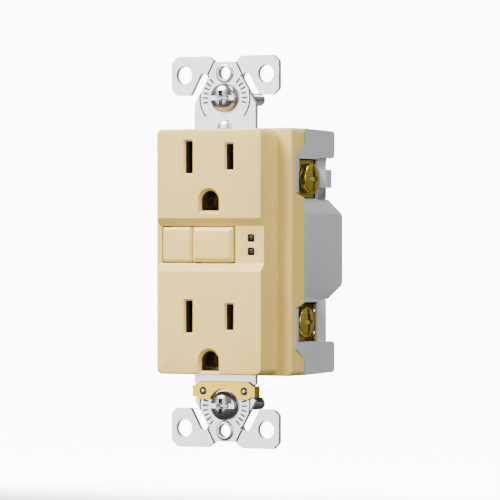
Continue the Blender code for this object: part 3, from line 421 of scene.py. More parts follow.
def weigh_edges(data, width):
    """Mark for rounding each sharp edge whose ends touch no edge shorter than the clearance."""
    ends = np.empty(len(data.edges) * 2, np.int32)
    data.edges.foreach_get("vertices", ends)
    ends = ends.reshape(-1, 2)
    spots = np.empty(len(data.vertices) * 3, np.float32)
    data.vertices.foreach_get("co", spots)
    spots = spots.reshape(-1, 3)
    sharp = np.zeros(len(ends), bool)
    if "sharp_edge" in data.attributes:
        data.attributes["sharp_edge"].data.foreach_get("value", sharp)
    tight = np.zeros(len(spots), bool)
    lengths = np.linalg.norm(spots[ends[:, 0]] - spots[ends[:, 1]], axis=1)
    tight[ends[lengths < CLEARANCE * width]] = True
    weights = (sharp & ~tight[ends].any(axis=1)).astype(np.float32)
    data.attributes.new("bevel_weight_edge", "FLOAT", "EDGE").data.foreach_set("value", weights)


def softened(piece, width, angle=40):
    """Round the edges that meet past an angle, then shade smooth across the small facets."""
    piece.data.set_sharp_from_angle(angle=math.radians(angle))
    weigh_edges(piece.data, width)
    piece.data.set_sharp_from_angle(angle=math.radians(SMOOTH))
    edge = piece.modifiers.new("soft_edges", "BEVEL")
    edge.width = width
    edge.segments = 2
    edge.limit_method = "WEIGHT"
    edge.use_clamp_overlap = False
    edge.harden_normals = True
    return piece


def cad_copy(node, name, finish, width):
    """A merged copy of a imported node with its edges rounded, to stand for the node."""
    source = frame["nodes"][node]
    shape = bmesh.new()
    shape.from_mesh(source.data)
    bmesh.ops.remove_doubles(shape, verts=shape.verts, dist=2e-6)
    bmesh.ops.dissolve_limit(shape, angle_limit=math.radians(1), verts=shape.verts, edges=shape.edges)
    data = bpy.data.meshes.new(name)
    shape.to_mesh(data)
    shape.free()
    data.materials.clear()
    data.materials.append(FINISHES[finish])
    data.shade_smooth()
    data.set_sharp_from_angle(angle=math.radians(SMOOTH))
    made = bpy.data.objects.new(name, data)
    bpy.context.scene.collection.objects.link(made)
    if width:
        softened(made, width)
    stand_in(made, node)
    return made


def body_of(node):
    """The moving body that the record gives the node to."""
    bodies = frame["record"]["behaviour"]["bodies"]
    return next(body for body, nodes in bodies.items() if node in nodes)


def stand_in(piece, node):
    """Ride the piece on the node's body and show it in place of the node."""
    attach(piece, body_of(node))
    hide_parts(node)


def seat_of(node, axis="Y"):
    """The node's box and the middle of its outline across the axis."""
    low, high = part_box(node)
    return low, high, tuple((low[i] + high[i]) / 2 for i in range(3) if "XYZ"[i] != axis)


# Cover and housing ------------------------------------------------------------------------


def edge_levels(radius, steps=5):
    """Inset and drop of a convex quarter-round edge: r (1 - sin t), r (1 - cos t)."""
    t = np.linspace(0, math.pi / 2, steps)
    return np.stack([radius * (1 - np.sin(t)), radius * (1 - np.cos(t))], -1)


def paint_shade_inside(cutter, line):
    """Ivory in front of the line along Y; past it the depth finish, painted shade on the walls inside."""
    data = cutter.data
    for finish in ("ivory", "depth"):
        data.materials.append(FINISHES[finish])
    middles = np.empty(len(data.polygons) * 3, np.float32)
    data.polygons.foreach_get("center", middles)
    # faces deeper than the line take the painted shade
    data.polygons.foreach_set("material_index", (middles[1::3] > line).astype(np.int32))
    return cutter


def rounded_hole(name, half_a, half_b, radius, centre, front, lip, steps=5, growth=1.0):
    """Rounded hole cutter whose mouth rolls over the face on a quarter round of radius lip."""
    drops = edge_levels(lip, steps)
    heights = [front - MM, front - 0.004 * MM, *(front + drops[1:, 1]), front + 4 * MM]
    margins = [lip * 1.02, lip, *drops[1:, 0], 0]
    outlines = [rounded(half_a + m, half_b + m, radius + growth * m, 5, centre) for m in margins]
    # The walls past the rolled lip take the depth finish: painted shade inside the hole.
    return paint_shade_inside(lofted(name, outlines, heights, "Y"), front + lip)


def ground_outline(margin, centre, radius=2.65 * MM):
    """Round top and flat foot, grown all round by the margin."""
    r = radius + margin
    top = arc(centre, r, 0, 180, 24)
    foot = np.array([[centre[0] - r, centre[1] - r], [centre[0] + r, centre[1] - r]])
    return np.concatenate([top, foot])


def cover_block(front, shoulder, split, half_x, half_z):
    """Raised face with a rolled edge, a fillet down to the shoulder and a rounded outer edge."""
    face_x, face_z = half_x - 5.05 * MM, half_z - 0.4 * MM
    levels = []
    for inset, drop in edge_levels(0.4 * MM):
        levels.append((front + drop, face_x - inset, face_z - inset, 1.9 * MM - 0.6 * inset))
    for inset, drop in edge_levels(0.4 * MM):
        levels.append((shoulder - inset, face_x + 0.33 * MM + drop, face_z + 0.06 * MM, 1.9 * MM))
    for inset, drop in edge_levels(0.65 * MM, 7):
        levels.append((shoulder + drop, half_x - inset, half_z - 0.25 * inset, 1.5 * MM))
    levels.append((split - 0.15 * MM, half_x, half_z, 1.5 * MM))
    levels.append((split, half_x - 0.12 * MM, half_z - 0.12 * MM, 1.4 * MM))
    outlines = [rounded(x, z, r) for _, x, z, r in levels]
    return lofted("cover_shell", outlines, [level[0] for level in levels], "Y", "ivory")


def cover_hollow(front, back, split, inner_x, inner_z):
    """The space inside the cover: narrow behind the face, wide behind the shoulder."""
    narrow = rounded(14.6 * MM, 31.3 * MM, 0.6 * MM)
    wide = rounded(inner_x, inner_z, 0.6 * MM)
    return lofted("cover_hollow", [narrow, narrow, wide, wide], [front + 3 * MM, back, back, split + MM], "Y")


def band_cutter(front, floor_y):
    """The sunken band across the face, with sloping walls and small fillets."""
    corners = [
        (floor_y, -3.1 * MM), (floor_y, 7.0 * MM), (front - 0.01 * MM, 9.1 * MM),
        (front - 0.03 * MM, 10.2 * MM), (front - 3 * MM, 10.2 * MM), (front - 3 * MM, -6.3 * MM),
        (front - 0.03 * MM, -6.3 * MM), (front - 0.01 * MM, -5.2 * MM),
    ]
    fillets = np.array([0.2, 0.2, 0.22, 0.01, 0.1, 0.1, 0.01, 0.22]) * MM
    return extruded("band_cutter", filleted(corners, fillets), "X", -20 * MM, 20 * MM)


def face_openings(front, floor_y):
    """Blade slots, ground openings, the keys' opening and the two lens holes."""
    cutters = []
    for z in OUTLET_ROWS:
        for side, half in ((-1, 4.3 * MM), (1, 3.45 * MM)):
            centre = (side * BLADE_COLUMN * MM, z * MM)
            cutters.append(rounded_hole("slot", 1.05 * MM, half, 0.25 * MM, centre, front, 0.5 * MM, 2, 0.8))
    steps = np.array([(0.95, -1), (0.85, -0.004), (0.62, 0.16), (0.06, 0.74), (0, 0.9), (0, 4)]) * MM
    for z in GROUND_ROWS:
        outlines = [ground_outline(margin, (0, z * MM)) for margin in steps[:, 0]]
        hole = lofted("ground_hole", outlines, front + steps[:, 1], "Y")
        # Past 0.9 mm the ground hole's walls take the painted shade.
        cutters.append(paint_shade_inside(hole, front + 0.9 * MM))
    cutters.append(rounded_hole(
        "button_opening", 11.375 * MM, 4.95 * MM, 0.3 * MM, (-4.075 * MM, 1.95 * MM), floor_y, 0.18 * MM))
    for z in (3.7 * MM, 0.1 * MM):
        cutters.append(rounded_hole(
            "lens_hole", 1.02 * MM, 1.02 * MM, 0.35 * MM, (12.2 * MM, z), floor_y, 0.15 * MM))
    return cutters


def edge_openings(half_x, wall):
    """Side notches at the terminal windows, and the slots at both ends where the strap passes."""
    cutters = []
    reach = 2 / 5.1  # share of the front edge's slope that is left past the split
    rows = ((25.1, 15.95, 29.05, 14.6), (-15.3, -26.5, -13.7, -28.75))
    for top, low_edge, top_split, low_split in rows:
        outline = filleted(np.array([
            (-0.3, low_edge), (6.8, low_split + (low_split - low_edge) * reach),
            (6.8, top_split + (top_split - top) * reach), (-0.3, top),
        ]) * MM, np.array([0.5, 0.01, 0.01, 0.5]) * MM, 4)
        for side in (-1, 1):
            near, far = sorted((side * (half_x - wall - 0.3 * MM), side * (half_x + MM)))
            cutters.append(extruded("side_notch", outline, "X", near, far))
    passage = np.array([(-1.6, 31.0), (5.5, 31.0), (5.5, 34.5), (-2.55, 34.5), (-2.55, 33.1), (-1.6, 33.1)])
    for side in (-1, 1):
        cutters.append(extruded("strap_slot", passage * (MM, side * MM), "X", -9.85 * MM, 9.85 * MM))
    return cutters


class RECEPTACLE_OT_cover(bpy.types.Operator):
    """Moulded front cover with its band, slots and ground openings"""

    bl_idname = "receptacle.cover"
    bl_label = "Front cover"

    def execute(self, context):
        low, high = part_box("front_cover")
        front, split = low.y, high.y
        half_x, half_z = high.x, high.z
        wall = 1.6 * MM
        shoulder, floor_y = front + 7.95 * MM, front + 1.5 * MM
        shell = cover_block(front, shoulder, split, half_x, half_z)
        cutters = [
            cover_hollow(front, shoulder + 1.55 * MM, split, half_x - wall, half_z - wall),
            band_cutter(front, floor_y),
            *face_openings(front, floor_y),
            *edge_openings(half_x, wall),
        ]
        carved(shell, *cutters)
        softened(shell, 0.13 * MM, 50)
        stand_in(shell, "front_cover")
        return {"FINISHED"}


class RECEPTACLE_OT_housing(bpy.types.Operator):
    """Moulded rear housing with rounded edges"""

    bl_idname = "receptacle.housing"
    bl_label = "Rear housing"

    def execute(self, context):
        cad_copy("rear_housing", "housing_shell", "grey", 0.2 * MM)
        return {"FINISHED"}


# Buttons and lenses -----------------------------------------------------------------------


def key_body(name, x, half_x, front, bevel, drop):
    """Key cap: a rolled front edge, a sloping bevel of the given width and drop, a straight skirt."""
    roll = 0.12 * MM
    shape = [
        (front, bevel + roll), (front + 0.02 * MM, bevel + 0.3 * roll),
        (front + 0.07 * MM, bevel - 0.4 * roll), (front + drop - 0.06 * MM, 0.7 * roll),
        (front + drop, 0.25 * roll), (front + drop + roll, 0), (-6.6 * MM, 0),
    ]
    centre = (x, KEY_ROW * MM)
    outlines = [
        rounded(half_x - m, 4.68 * MM - m, max(0.35 * MM - 0.3 * m, 0.1 * MM), 6, centre) for _, m in shape
    ]
    return lofted(name, outlines, [y for y, _ in shape], "Y", "button", 20)


class RECEPTACLE_OT_buttons(bpy.types.Operator):
    """Test and reset keys with rolled bevels, and the two smoked lenses"""

    bl_idname = "receptacle.buttons"
    bl_label = "Buttons and lenses"

    def execute(self, context):
        pin = (RESET_COLUMN * MM, KEY_ROW * MM)
        keys = (
            ("test_button", "test_key", (-10.65 * MM, 4.55 * MM, -8.8 * MM, 0.6 * MM, 0.35 * MM),
             (-10.5 * MM, 2.5 * MM), rounded(1.15 * MM, 1.1 * MM, 0.15 * MM, 3, (-9.6 * MM, 2.0 * MM))),
            ("reset_button", "reset_key", (RESET_COLUMN * MM, 6.3 * MM, -9.45 * MM, 0.95 * MM, 0.55 * MM),
             (RESET_COLUMN * MM, 4.7 * MM), circle(1.8 * MM, 32, pin)),
        )
        for node, name, body, (lip_x, lip_half), stem_outline in keys:
            cap = key_body(name, *body)
            lip_outline = rounded(lip_half, 5.475 * MM, 0.2 * MM, 3, (lip_x, 1.975 * MM))
            lip = extruded("lip", lip_outline, "Y", -6.7 * MM, -6.1 * MM)
            stem = extruded("stem", stem_outline, "Y", -6.4 * MM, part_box(node)[1].y)
            carved(cap, lip, stem, operation="UNION")
            if node == "reset_button":
                carved(cap, extruded("socket", circle(1.1 * MM, 32, pin), "Y", -6.4 * MM, -3 * MM))
            cap.data.shade_smooth()
            cap.data.set_sharp_from_angle(angle=math.radians(20))
            stand_in(cap, node)
        for node in ("led_lens_upper", "led_lens_lower"):
            low, high, centre = seat_of(node)
            half = (high.x - low.x) / 2
            shape = [(0, 0.5), (0.05, 0.28), (0.14, 0.1), (0.3, 0), (high.y / MM - low.y / MM, 0)]
            outlines = [rounded(half - m * MM, half - m * MM, 0.26 * MM, 5, centre) for _, m in shape]
            lens = lofted(node + "_dome", outlines, [low.y + y * MM for y, _ in shape], "Y", "lens", 60)
            stand_in(lens, node)
        return {"FINISHED"}


# Strap, clip and screws -------------------------------------------------------------------


def strap_outline():
    """Strap seen from the front: four ears with a slot at each end, necks and a notched lower end."""
    quarter = np.array([
        (3.35, 51.7), (5.3, 53.05), (15.0, 53.05), (16.75, 51.4), (16.75, 43.95), (15.1, 42.45),
        (10.7, 42.45),
    ])
    neck = np.array([(9.55, 40.2), (9.55, 31.0), (14.2, 31.0)])
    notch = np.array([(9.55, -35.6), (8.9, -36.0), (8.9, -39.6), (9.55, -40.0)])
    slot_end = arc((6.7, 47.2), 1.2, 31.7, 211.7, 12)
    rounding = [0.4, 0.4, 0.35, 0.35, 0.35, 0.35, 0.35, 0.01]
    ear = filleted(np.vstack([quarter, [(7.72, 47.83)]]), rounding, 4)[:-4]
    right_top = np.vstack([ear, slot_end, neck])
    right_low = np.vstack([neck[::-1][:2], notch, slot_end[::-1], ear[::-1]])
    right_low[:2, 1] *= -1
    right_low[6:, 1] *= -1
    right = np.vstack([right_top, right_low])
    return np.vstack([right, right[::-1] * (-1, 1)]) * MM


def strap_holes(front):
    """Windows behind the slots and keys, the mounting slots, and the round holes."""
    windows = [rounded(2.0 * MM, 5.0 * MM, 0.5 * MM, 3, (s * 6.4 * MM, z * MM - 0.3 * MM))
               for z in OUTLET_ROWS for s in (-1, 1)]
    windows += [rounded(0.9 * MM, 3.5 * MM, 0.3 * MM, 3, (7.5 * MM, MM)),
                rounded(2.15 * MM, 5.8 * MM, 0.5 * MM, 3, (-8.75 * MM, -1.4 * MM))]
    slot = np.concatenate([
        arc((1.45 * MM, 0), 2.05 * MM, -90, 90, 20), arc((-1.45 * MM, 0), 2.05 * MM, 90, 270, 20),
    ])
    windows += [slot + (0, s * SCREW_ROW * MM) for s in (-1, 1)]
    cutters = [extruded("window", outline, "Y", front - MM, MM) for outline in windows]
    spots = [(RESET_COLUMN, KEY_ROW, 3.4), *((0, z, 3.2) for z in GROUND_ROWS)]
    spots += [(6.4, -37.7, 1.05), (-6.4, -37.7, 1.05)]
    spots += [(a * 12.75, b * 48.0, 2.4) for a in (-1, 1) for b in (-1, 1)]
    for a, b, r in spots:
        cutters.append(extruded("drill", circle(r * MM, 40, (a * MM, b * MM)), "Y", front - MM, MM))
    return cutters


def bar(start, end, half):
    """Straight bar from start to end, half wide to each side."""
    across = np.array([end[1] - start[1], start[0] - end[0]])
    across = across / np.linalg.norm(across) * half
    return np.array([start + across, start - across, end - across, end + across]) * MM


def strap_marks(front, s):
    """Break-off scores at the ears and plain stamped dashes and arcs round a mounting screw."""
    marks = []
    for a in (-1, 1):
        score = bar(np.array([a * 3.35, s * 51.7]), np.array([a * 6.0, s * 46.9]), 0.24)
        marks.append(("score", score, 0.35))
    for angle in (*range(-12, 60, 12), *range(132, 204, 12)):
        ray = np.array([math.cos(math.radians(angle)), s * math.sin(math.radians(angle))])
        across = np.array([-ray[1], ray[0]]) * 0.22
        near, far = ray * 5.3 + (0, s * SCREW_ROW), ray * 6.9 + (0, s * SCREW_ROW)
        dash = np.array([near - across, far - across, far + across, near + across]) * MM
        marks.append(("stamped_mark", dash, 0.3))
    sweep = np.concatenate([arc((0, 0), 7.95, -40, 52, 30), arc((0, 0), 7.6, 52, -40, 30)])
    for a in (-1, 1):
        marks.append(("stamped_line", (sweep * (a, s) + (0, s * SCREW_ROW)) * MM, 0.25))
    # Each mark takes the groove finish, which paints the shade in the stamped line.
    return [extruded(name, line, "Y", front - MM, front + depth * MM, "groove")
            for name, line, depth in marks]


class RECEPTACLE_OT_strap(bpy.types.Operator):
    """Plated strap with ears, collars, break-off scores and a stiffening dimple"""

    bl_idname = "receptacle.strap"
    bl_label = "Mounting strap"

    def execute(self, context):
        front = -1.3 * MM
        strap = extruded("strap_plate", strap_outline(), "Y", front, 0, "zinc")
        cutters = strap_holes(front)
        collar_profile = np.array([
            (1.2, -0.4), (1.2, -1.62), (1.95, -1.8), (2.3, -1.76), (2.6, -1.55), (2.75, -1.2), (2.75, -0.4),
        ]) * MM
        for s in (-1, 1):
            centre = (0, s * COLLAR_ROW * MM)
            carved(strap, revolved("collar", collar_profile, "Y", centre, None, 48), operation="UNION")
            cutters.append(extruded("collar_hole", circle(1.75 * MM, 48, centre), "Y", -3 * MM, MM))
            cutters += strap_marks(front, s)
        carved(strap, *cutters)
        softened(strap, 0.08 * MM, 50)
        stand_in(strap, "mounting_strap")

        # Dimple: half circles that shrink by cos t as they stand out by sin t
        rings = []
        for t in np.linspace(0, math.pi / 2, 9):
            r = max(np.cos(t), 0.02)
            outline = arc((0, 0), 1, 0, 180, 24) * (2.3 * MM * r, 2.4 * MM * r)
            stand_out = np.full(24, front + 0.02 * MM - MM * np.sin(t))
            rings.append(placed("Y", outline[:, 0], 33.45 * MM + outline[:, 1], stand_out))
        dimple = skinned("strap_dimple", np.stack(rings), "zinc", 50)
        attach(dimple, "case")
        return {"FINISHED"}


def thread_ripple(pitch, depth, start, end):
    """Rolled thread: the radius swings by depth times a rounded triangle of height/pitch - turn."""
    def ripple(turn, radius, height):
        phase = height / pitch - turn / TURN
        wave = np.abs((phase % 1) * 2 - 1)
        fade = np.clip((height - start) / pitch, 0, 1) * np.clip((end - height) / pitch, 0, 1)
        return -depth * wave ** 0.8 * fade * np.ones_like(radius)
    return ripple


def cross_outline(reach, width):
    """Plus sign whose arms end at the reach and are two widths wide."""
    return np.array([
        (reach, -width), (reach, width), (width, width), (width, reach), (-width, reach), (-width, width),
        (-reach, width), (-reach, -width), (-width, -width), (-width, -reach), (width, -reach),
        (width, -width),
    ])


def recess_cutters(axis, centre, top, outward, radius, depth, floor_finish):
    """Combined slot and cross drive: a full-width slot and a tapered cross that goes deeper."""
    half, reach = 0.66 * MM, radius * 1.3
    slot = np.array([(-reach, -half), (reach, -half), (reach, half), (-reach, half)])
    if axis == "X":
        slot = slot[:, ::-1]
    slot = slot + centre
    mouth = cross_outline(radius * 0.5, half * 0.9) + centre
    foot = cross_outline(radius * 0.26, half * 0.5) + centre
    outer = top + outward * MM
    return [
        lofted("slot_cut", [slot, slot], [outer, top - outward * depth * 0.55], axis, floor_finish),
        lofted("cross_cut", [mouth, mouth, foot],
               [outer, top - outward * 0.56 * depth, top - outward * depth], axis),
    ]


def drive_screw(node, name, axis, outward, finish, head, shank, pitch):
    """Cold-headed screw: threaded shank, flat underside, rounded rim and dome, driven recess."""
    low, high, centre = seat_of(node, axis)
    index = "XYZ".index(axis)
    top, tip = (low[index], high[index]) if outward < 0 else (high[index], low[index])
    radius, rim, dome = head
    under = top - outward * (rim + dome)
    rows = int(abs(under - tip) / pitch * 10)
    shaft = [(0, tip), (shank * 0.45, tip), (shank * 0.8, tip + outward * 0.15 * MM)]
    shaft += [(shank, height) for height in np.linspace(tip + outward * 0.5 * MM, under, rows)]
    roll = 0.25 * MM
    t = np.linspace(0, math.pi / 2, 14)
    crown = [(radius * math.cos(a) ** 0.9, under + outward * (rim + dome * math.sin(a))) for a in t]
    profile = shaft + [(radius - roll * 0.4, under), (radius, under + outward * roll)] + crown
    profile[-1] = (0, top)
    start, end = sorted((tip + outward * 0.2 * MM, under))
    thread = thread_ripple(pitch, 0.3 * MM, start, end)
    screw = revolved(name, profile, axis, centre, finish, 48, thread, 30)
    depth = min(rim + dome, 2.1 * MM) * 0.95
    floor_finish = "zinc" if finish == "steel" else finish
    carved(screw, *recess_cutters(axis, centre, top, outward, radius, depth, floor_finish))
    screw.data.shade_smooth()
    screw.data.set_sharp_from_angle(angle=math.radians(34))
    softened(screw, 0.07 * MM, 50)
    stand_in(screw, node)


class RECEPTACLE_OT_screws(bpy.types.Operator):
    """Mounting, terminal, ground and housing screws"""

    bl_idname = "receptacle.screws"
    bl_label = "Screws"

    def execute(self, context):
        # Node, name, axis, way out, finish, head (radius, rim, dome) and shank in millimetres
        kinds = [(f"mounting_screw_{end}", f"strap_screw_{end}", "Y", -1, "steel", (3.95, 0.6, 1.7), 1.75)
                 for end in ("top", "bottom")]
        for row in ("line", "load"):
            for pole, word, out, finish in (("hot", "brass", 1, "brass"), ("neutral", "silver", -1, "nickel")):
                kinds.append((f"terminal_screw_{row}_{pole}", f"{word}_screw_{row}", "X", out, finish,
                              (4.1, 1.6, 0.7), 1.95))
        kinds.append(("ground_screw", "green_screw", "Z", -1, "green", (3.5, 0.5, 1.5), 1.9))
        kinds += [(f"housing_screw_{row}_{side}", f"case_screw_{row}_{side}", "Y", 1, "steel",
                   (2.5, 0.4, 1.1), 1.3) for row in ("upper", "lower") for side in ("left", "right")]
        pitch = context.scene.receptacle_sizes.pitch
        for *placing, head, shank in kinds:
            drive_screw(*placing, [size * MM for size in head], shank * MM, pitch)
        return {"FINISHED"}


class RECEPTACLE_OT_clip(bpy.types.Operator):
    """Brass grounding clip and its two rivets"""

    bl_idname = "receptacle.clip"
    bl_label = "Grounding clip"

    def execute(self, context):
        cad_copy("grounding_clip", "spring_clip", "clip", 0.12 * MM)
        for side in ("left", "right"):
            node = "clip_rivet_" + side
            low, high, centre = seat_of(node)
            t = np.linspace(0, math.pi / 2, 6)
            nose = [(0.9 * MM * math.sin(a), low.y + 0.3 * MM * (1 - math.cos(a))) for a in t]
            back = [(r * MM, y * MM) for r, y in ((0.9, 0.3), (1.25, 0.32), (1.3, 0.45), (1.1, 0.8))]
            rivet = revolved(f"rivet_{side}", nose + back + [(0, high.y)], "Y", centre, "steel", 32)
            stand_in(rivet, node)
        return {"FINISHED"}


# Terminals --------------------------------------------------------------------------------


class RECEPTACLE_OT_terminals(bpy.types.Operator):
    """Terminal plates, ribbed clamp plates and the ground terminal"""

    bl_idname = "receptacle.terminals"
    bl_label = "Terminals"

    def execute(self, context):
        for row in ("line", "load"):
            for pole, finish in (("hot", "terminal"), ("neutral", "nickel_plate")):
                cad_copy(f"terminal_{row}_{pole}", f"terminal_body_{row}_{pole}", finish, 0.12 * MM)
                node = f"clamp_plate_{row}_{pole}"
                plate = cad_copy(node, f"clamp_body_{row}_{pole}", finish, 0)
                low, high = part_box(node)
                outward = 1 if pole == "hot" else -1
                inner = low.x if outward > 0 else high.x
                ribs = []
                for z in np.linspace(low.z + 0.9 * MM, high.z - 0.9 * MM, 7):
                    ahead, behind, half = low.y - MM, high.y + MM, 0.25 * MM
                    groove = np.array([
                        (ahead, z - half), (behind, z - half), (behind, z + half), (ahead, z + half),
                    ])
                    near, far = sorted((inner - outward * MM, inner + outward * 0.2 * MM))
                    ribs.append(extruded("rib", groove, "X", near, far))
                carved(plate, *ribs)
                softened(plate, 0.1 * MM, 50)
        cad_copy("ground_terminal", "ground_bracket", "zinc", 0.12 * MM)
        cad_copy("ground_clamp", "ground_pressure_plate", "green", 0.1 * MM)
        for word in ("top", "bottom"):
            cad_copy(f"screw_retainer_{word}", f"fibre_washer_{word}", "fibre", 0.08 * MM)
        return {"FINISHED"}


# Works inside the case --------------------------------------------------------------------


def helix_wire(name, axis, centre, radius, wire, low, high, turns, finish, per_turn=28, sides=10):
    """Round wire on a helix: (R cos t, R sin t, rise t) plus a circle of the wire's radius."""
    t = np.linspace(0, turns * TURN, int(turns * per_turn))[:, None]
    tilt = np.linspace(0, TURN, sides, endpoint=False)[None, :]
    reach = radius + wire * np.cos(tilt)
    height = low + (high - low) * t / (turns * TURN) + wire * np.sin(tilt)
    rings = placed(axis, centre[0] + reach * np.cos(t), centre[1] + reach * np.sin(t), height)
    return skinned(name, rings, finish, 60)


def squashed_springs():
    """Reset spring and plunger spring, each squeezed by the piece that pushes on it."""
    low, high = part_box("reset_spring")
    centre = (RESET_COLUMN * MM, KEY_ROW * MM)
    spring = helix_wire("return_spring", "Y", centre, 2.5 * MM, 0.25 * MM,
                        low.y + 0.25 * MM, high.y - 0.25 * MM, 6, "spring")
    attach(spring, "case")
    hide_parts("reset_spring")
    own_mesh(spring)

    low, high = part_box("plunger_spring")
    coil = helix_wire("plunger_return_spring", "X", SOLENOID_AXIS, 2.2 * MM, 0.2 * MM,
                      low.x + 0.2 * MM, high.x - 0.2 * MM, 4, "spring")
    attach(coil, "case")
    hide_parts("plunger_spring")
    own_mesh(coil)


def solenoid_winding():
    """Wound coil: the outer radius dips by sin^2 once for each turn."""
    low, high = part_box("solenoid_winding")
    turns = 26
    heights = np.linspace(low.x, high.x, turns * 6)
    outer, inner = (high.z - low.z) / 2, 2.6 * MM
    ridges = outer - 0.12 * MM * np.abs(np.sin(np.linspace(0, turns * math.pi, len(heights)))) ** 2
    profile = [(inner, low.x)] + list(zip(ridges, heights)) + [(inner, high.x)]
    wound = ring_turned("coil_winding", profile, "X", SOLENOID_AXIS, "copper", 40)
    stand_in(wound, "solenoid_winding")


def varistor():
    """Dipped disc: its rim is a half ellipse, cos t out and sin t up."""
    low, high, centre = seat_of("surge_varistor", "Z")
    radius, middle, half = (high.x - low.x) / 2, (low.z + high.z) / 2, (high.z - low.z) / 2
    t = np.linspace(-math.pi / 2, math.pi / 2, 17)
    rim = 1.1 * MM
    bulge = [(radius - rim + rim * math.cos(a), middle + half * math.sin(a)) for a in t]
    profile = [(0, low.z)] + bulge + [(0, high.z)]
    stand_in(revolved("varistor_disc", profile, "Z", centre, "epoxy", 40), "surge_varistor")


def ring_turned(name, profile, axis, centre, finish, steps):
    """Closed ring: a looped (radius, height) profile carried round the axis."""
    radius, height = np.asarray(profile, float).T
    turn = np.linspace(0, TURN, steps, endpoint=False)[:, None]
    a = centre[0] + radius[None, :] * np.cos(turn)
    b = centre[1] + radius[None, :] * np.sin(turn)
    return looped(name, placed(axis, a, b, height[None, :]), finish)


def looped(name, grid, finish):
    """Skin over a grid that closes on itself both ways, like a ring."""
    rows, columns = grid.shape[:2]
    i, j = np.meshgrid(np.arange(rows), np.arange(columns), indexing="ij")
    i2, j2 = (i + 1) % rows, (j + 1) % columns
    quads = np.stack([i * columns + j, i * columns + j2, i2 * columns + j2, i2 * columns + j], -1)
    return make_object(name, grid.reshape(-1, 3), quads.reshape(-1, 4).tolist(), finish, 50)


def wrapped_ring(node):
    """Wire wrapped round a ring core: a rounded square section whose size ripples with the turns."""
    low, high, centre = seat_of(node)
    turns = 60
    inner, outer = 3.05 * MM, (high.x - low.x) / 2
    around = np.linspace(0, TURN, turns * 6, endpoint=False)[:, None]
    section = np.linspace(0, TURN, 24, endpoint=False)[None, :]
    ripple = 1 - 0.07 * np.abs(np.sin(around * turns / 2)) ** 2
    half_r, half_y = (outer - inner) / 2, (high.y - low.y) / 2
    square = np.sign(np.cos(section)) * np.abs(np.cos(section)) ** 0.6
    upright = np.sign(np.sin(section)) * np.abs(np.sin(section)) ** 0.6
    reach = (inner + outer) / 2 + half_r * ripple * square
    y = (low.y + high.y) / 2 + half_y * ripple * upright
    grid = placed("Y", centre[0] + reach * np.cos(around), centre[1] + reach * np.sin(around), y)
    stand_in(looped(node + "_winding", grid, "copper"), node)


class RECEPTACLE_OT_works(bpy.types.Operator):
    """Contacts, board, latch, solenoid, current coils and springs"""

    bl_idname = "receptacle.works"
    bl_label = "Inner works"

    def execute(self, context):
        rounded_nodes = (
            ("middle_frame", "nylon", 0.2), ("circuit_board", "board", 0.05), ("latch_block", "nylon", 0.15),
            ("latch_plate", "steel", 0.06), ("hot_face_contact", "clip", 0.06),
            ("neutral_face_contact", "clip", 0.06), ("ground_contact_upper", "clip", 0.08),
            ("ground_contact_lower", "clip", 0.08), ("moving_contact_hot", "clip", 0.08),
            ("moving_contact_neutral", "clip", 0.08), ("solenoid_frame", "zinc", 0.1),
            ("solenoid_bobbin", "nylon", 0.1), ("coil_cup", "nylon", 0.15), ("control_chip", "resin", 0.1),
            ("film_capacitor", "film", 0.4), ("test_leaf", "clip", 0.04), ("reset_pin", "steel", 0.08),
            ("solenoid_plunger", "steel", 0.1),
        )
        for node, finish, width in rounded_nodes:
            cad_copy(node, node + "_piece", finish, width * MM)
        squashed_springs()
        solenoid_winding()
        for node in ("sense_coil", "neutral_coil"):
            wrapped_ring(node)
        varistor()
        return {"FINISHED"}


# Stage ------------------------------------------------------------------------------------


def paper_sweep(glow_strength):
    """Floor that turns up behind on a quarter circle, (sin t, 1 - cos t), and glows towards the back."""
    floor_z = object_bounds()[0][2] - 20 * MM
    half_width, bend_start, bend, top = 3.0, 0.7, 0.5, 1.6
    t = np.linspace(0, math.pi / 2, 12)
    along = np.concatenate([np.linspace(-2.5, bend_start, 3), bend_start + bend * np.sin(t), [1.2]])
    up = np.concatenate([[0, 0, 0], bend - bend * np.cos(t), [top]])
    sides = [np.stack([np.full_like(along, x), along, floor_z + up], -1) for x in (-half_width, half_width)]
    count = len(along)
    faces = [[i, i + 1, count + i + 1, count + i] for i in range(count - 1)]
    floor = make_object("studio_sweep", np.stack(sides).reshape(-1, 3), faces)
    material, tree, shader, place = new_material("lit_paper_sweep", linear("#F4F4F2"), 0.9)
    paper = add_node(tree, "TexNoise", {"Vector": place, "Scale": 60.0}).outputs["Fac"]
    tooth = add_node(tree, "Bump", {"Height": paper, "Distance": 0.05 * MM, "Strength": 0.2})
    tree.links.new(tooth.outputs["Normal"], shader.inputs["Normal"])
    depth = add_node(tree, "SeparateXYZ", {"Vector": place}).outputs["Y"]
    glow = add_node(tree, "MapRange", {"Value": depth, "From Min": 0.03, "From Max": 0.14,
                                       "To Max": glow_strength}, interpolation_type="SMOOTHSTEP")
    shader.inputs["Emission Color"].default_value = (1, 1, 1, 1)
    tree.links.new(glow.outputs["Result"], shader.inputs["Emission Strength"])
    floor.data.materials.append(material)
    floor.data.shade_smooth()
    floor.visible_diffuse = floor.visible_glossy = False
    floor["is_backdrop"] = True


def studio_world(scene, strength):
    """Even light all round, a little stronger from above."""
    world = bpy.data.worlds.new("studio")
    world.use_nodes = True
    scene.world = world
    tree = world.node_tree
    sky = tree.nodes["Background"]
    aim = add_node(tree, "TexCoord").outputs["Generated"]
    height = add_node(tree, "SeparateXYZ", {"Vector": aim}).outputs["Z"]
    share = add_node(tree, "MapRange", {"Value": height, "From Min": -0.9, "From Max": 0.9}).outputs["Result"]
    tint = shades(tree, share, (0.3, 0.3, 0.31), (1.15, 1.15, 1.15), 0.1, 0.9)
    tree.links.new(tint, sky.inputs["Color"])
    sky.inputs["Strength"].default_value = strength


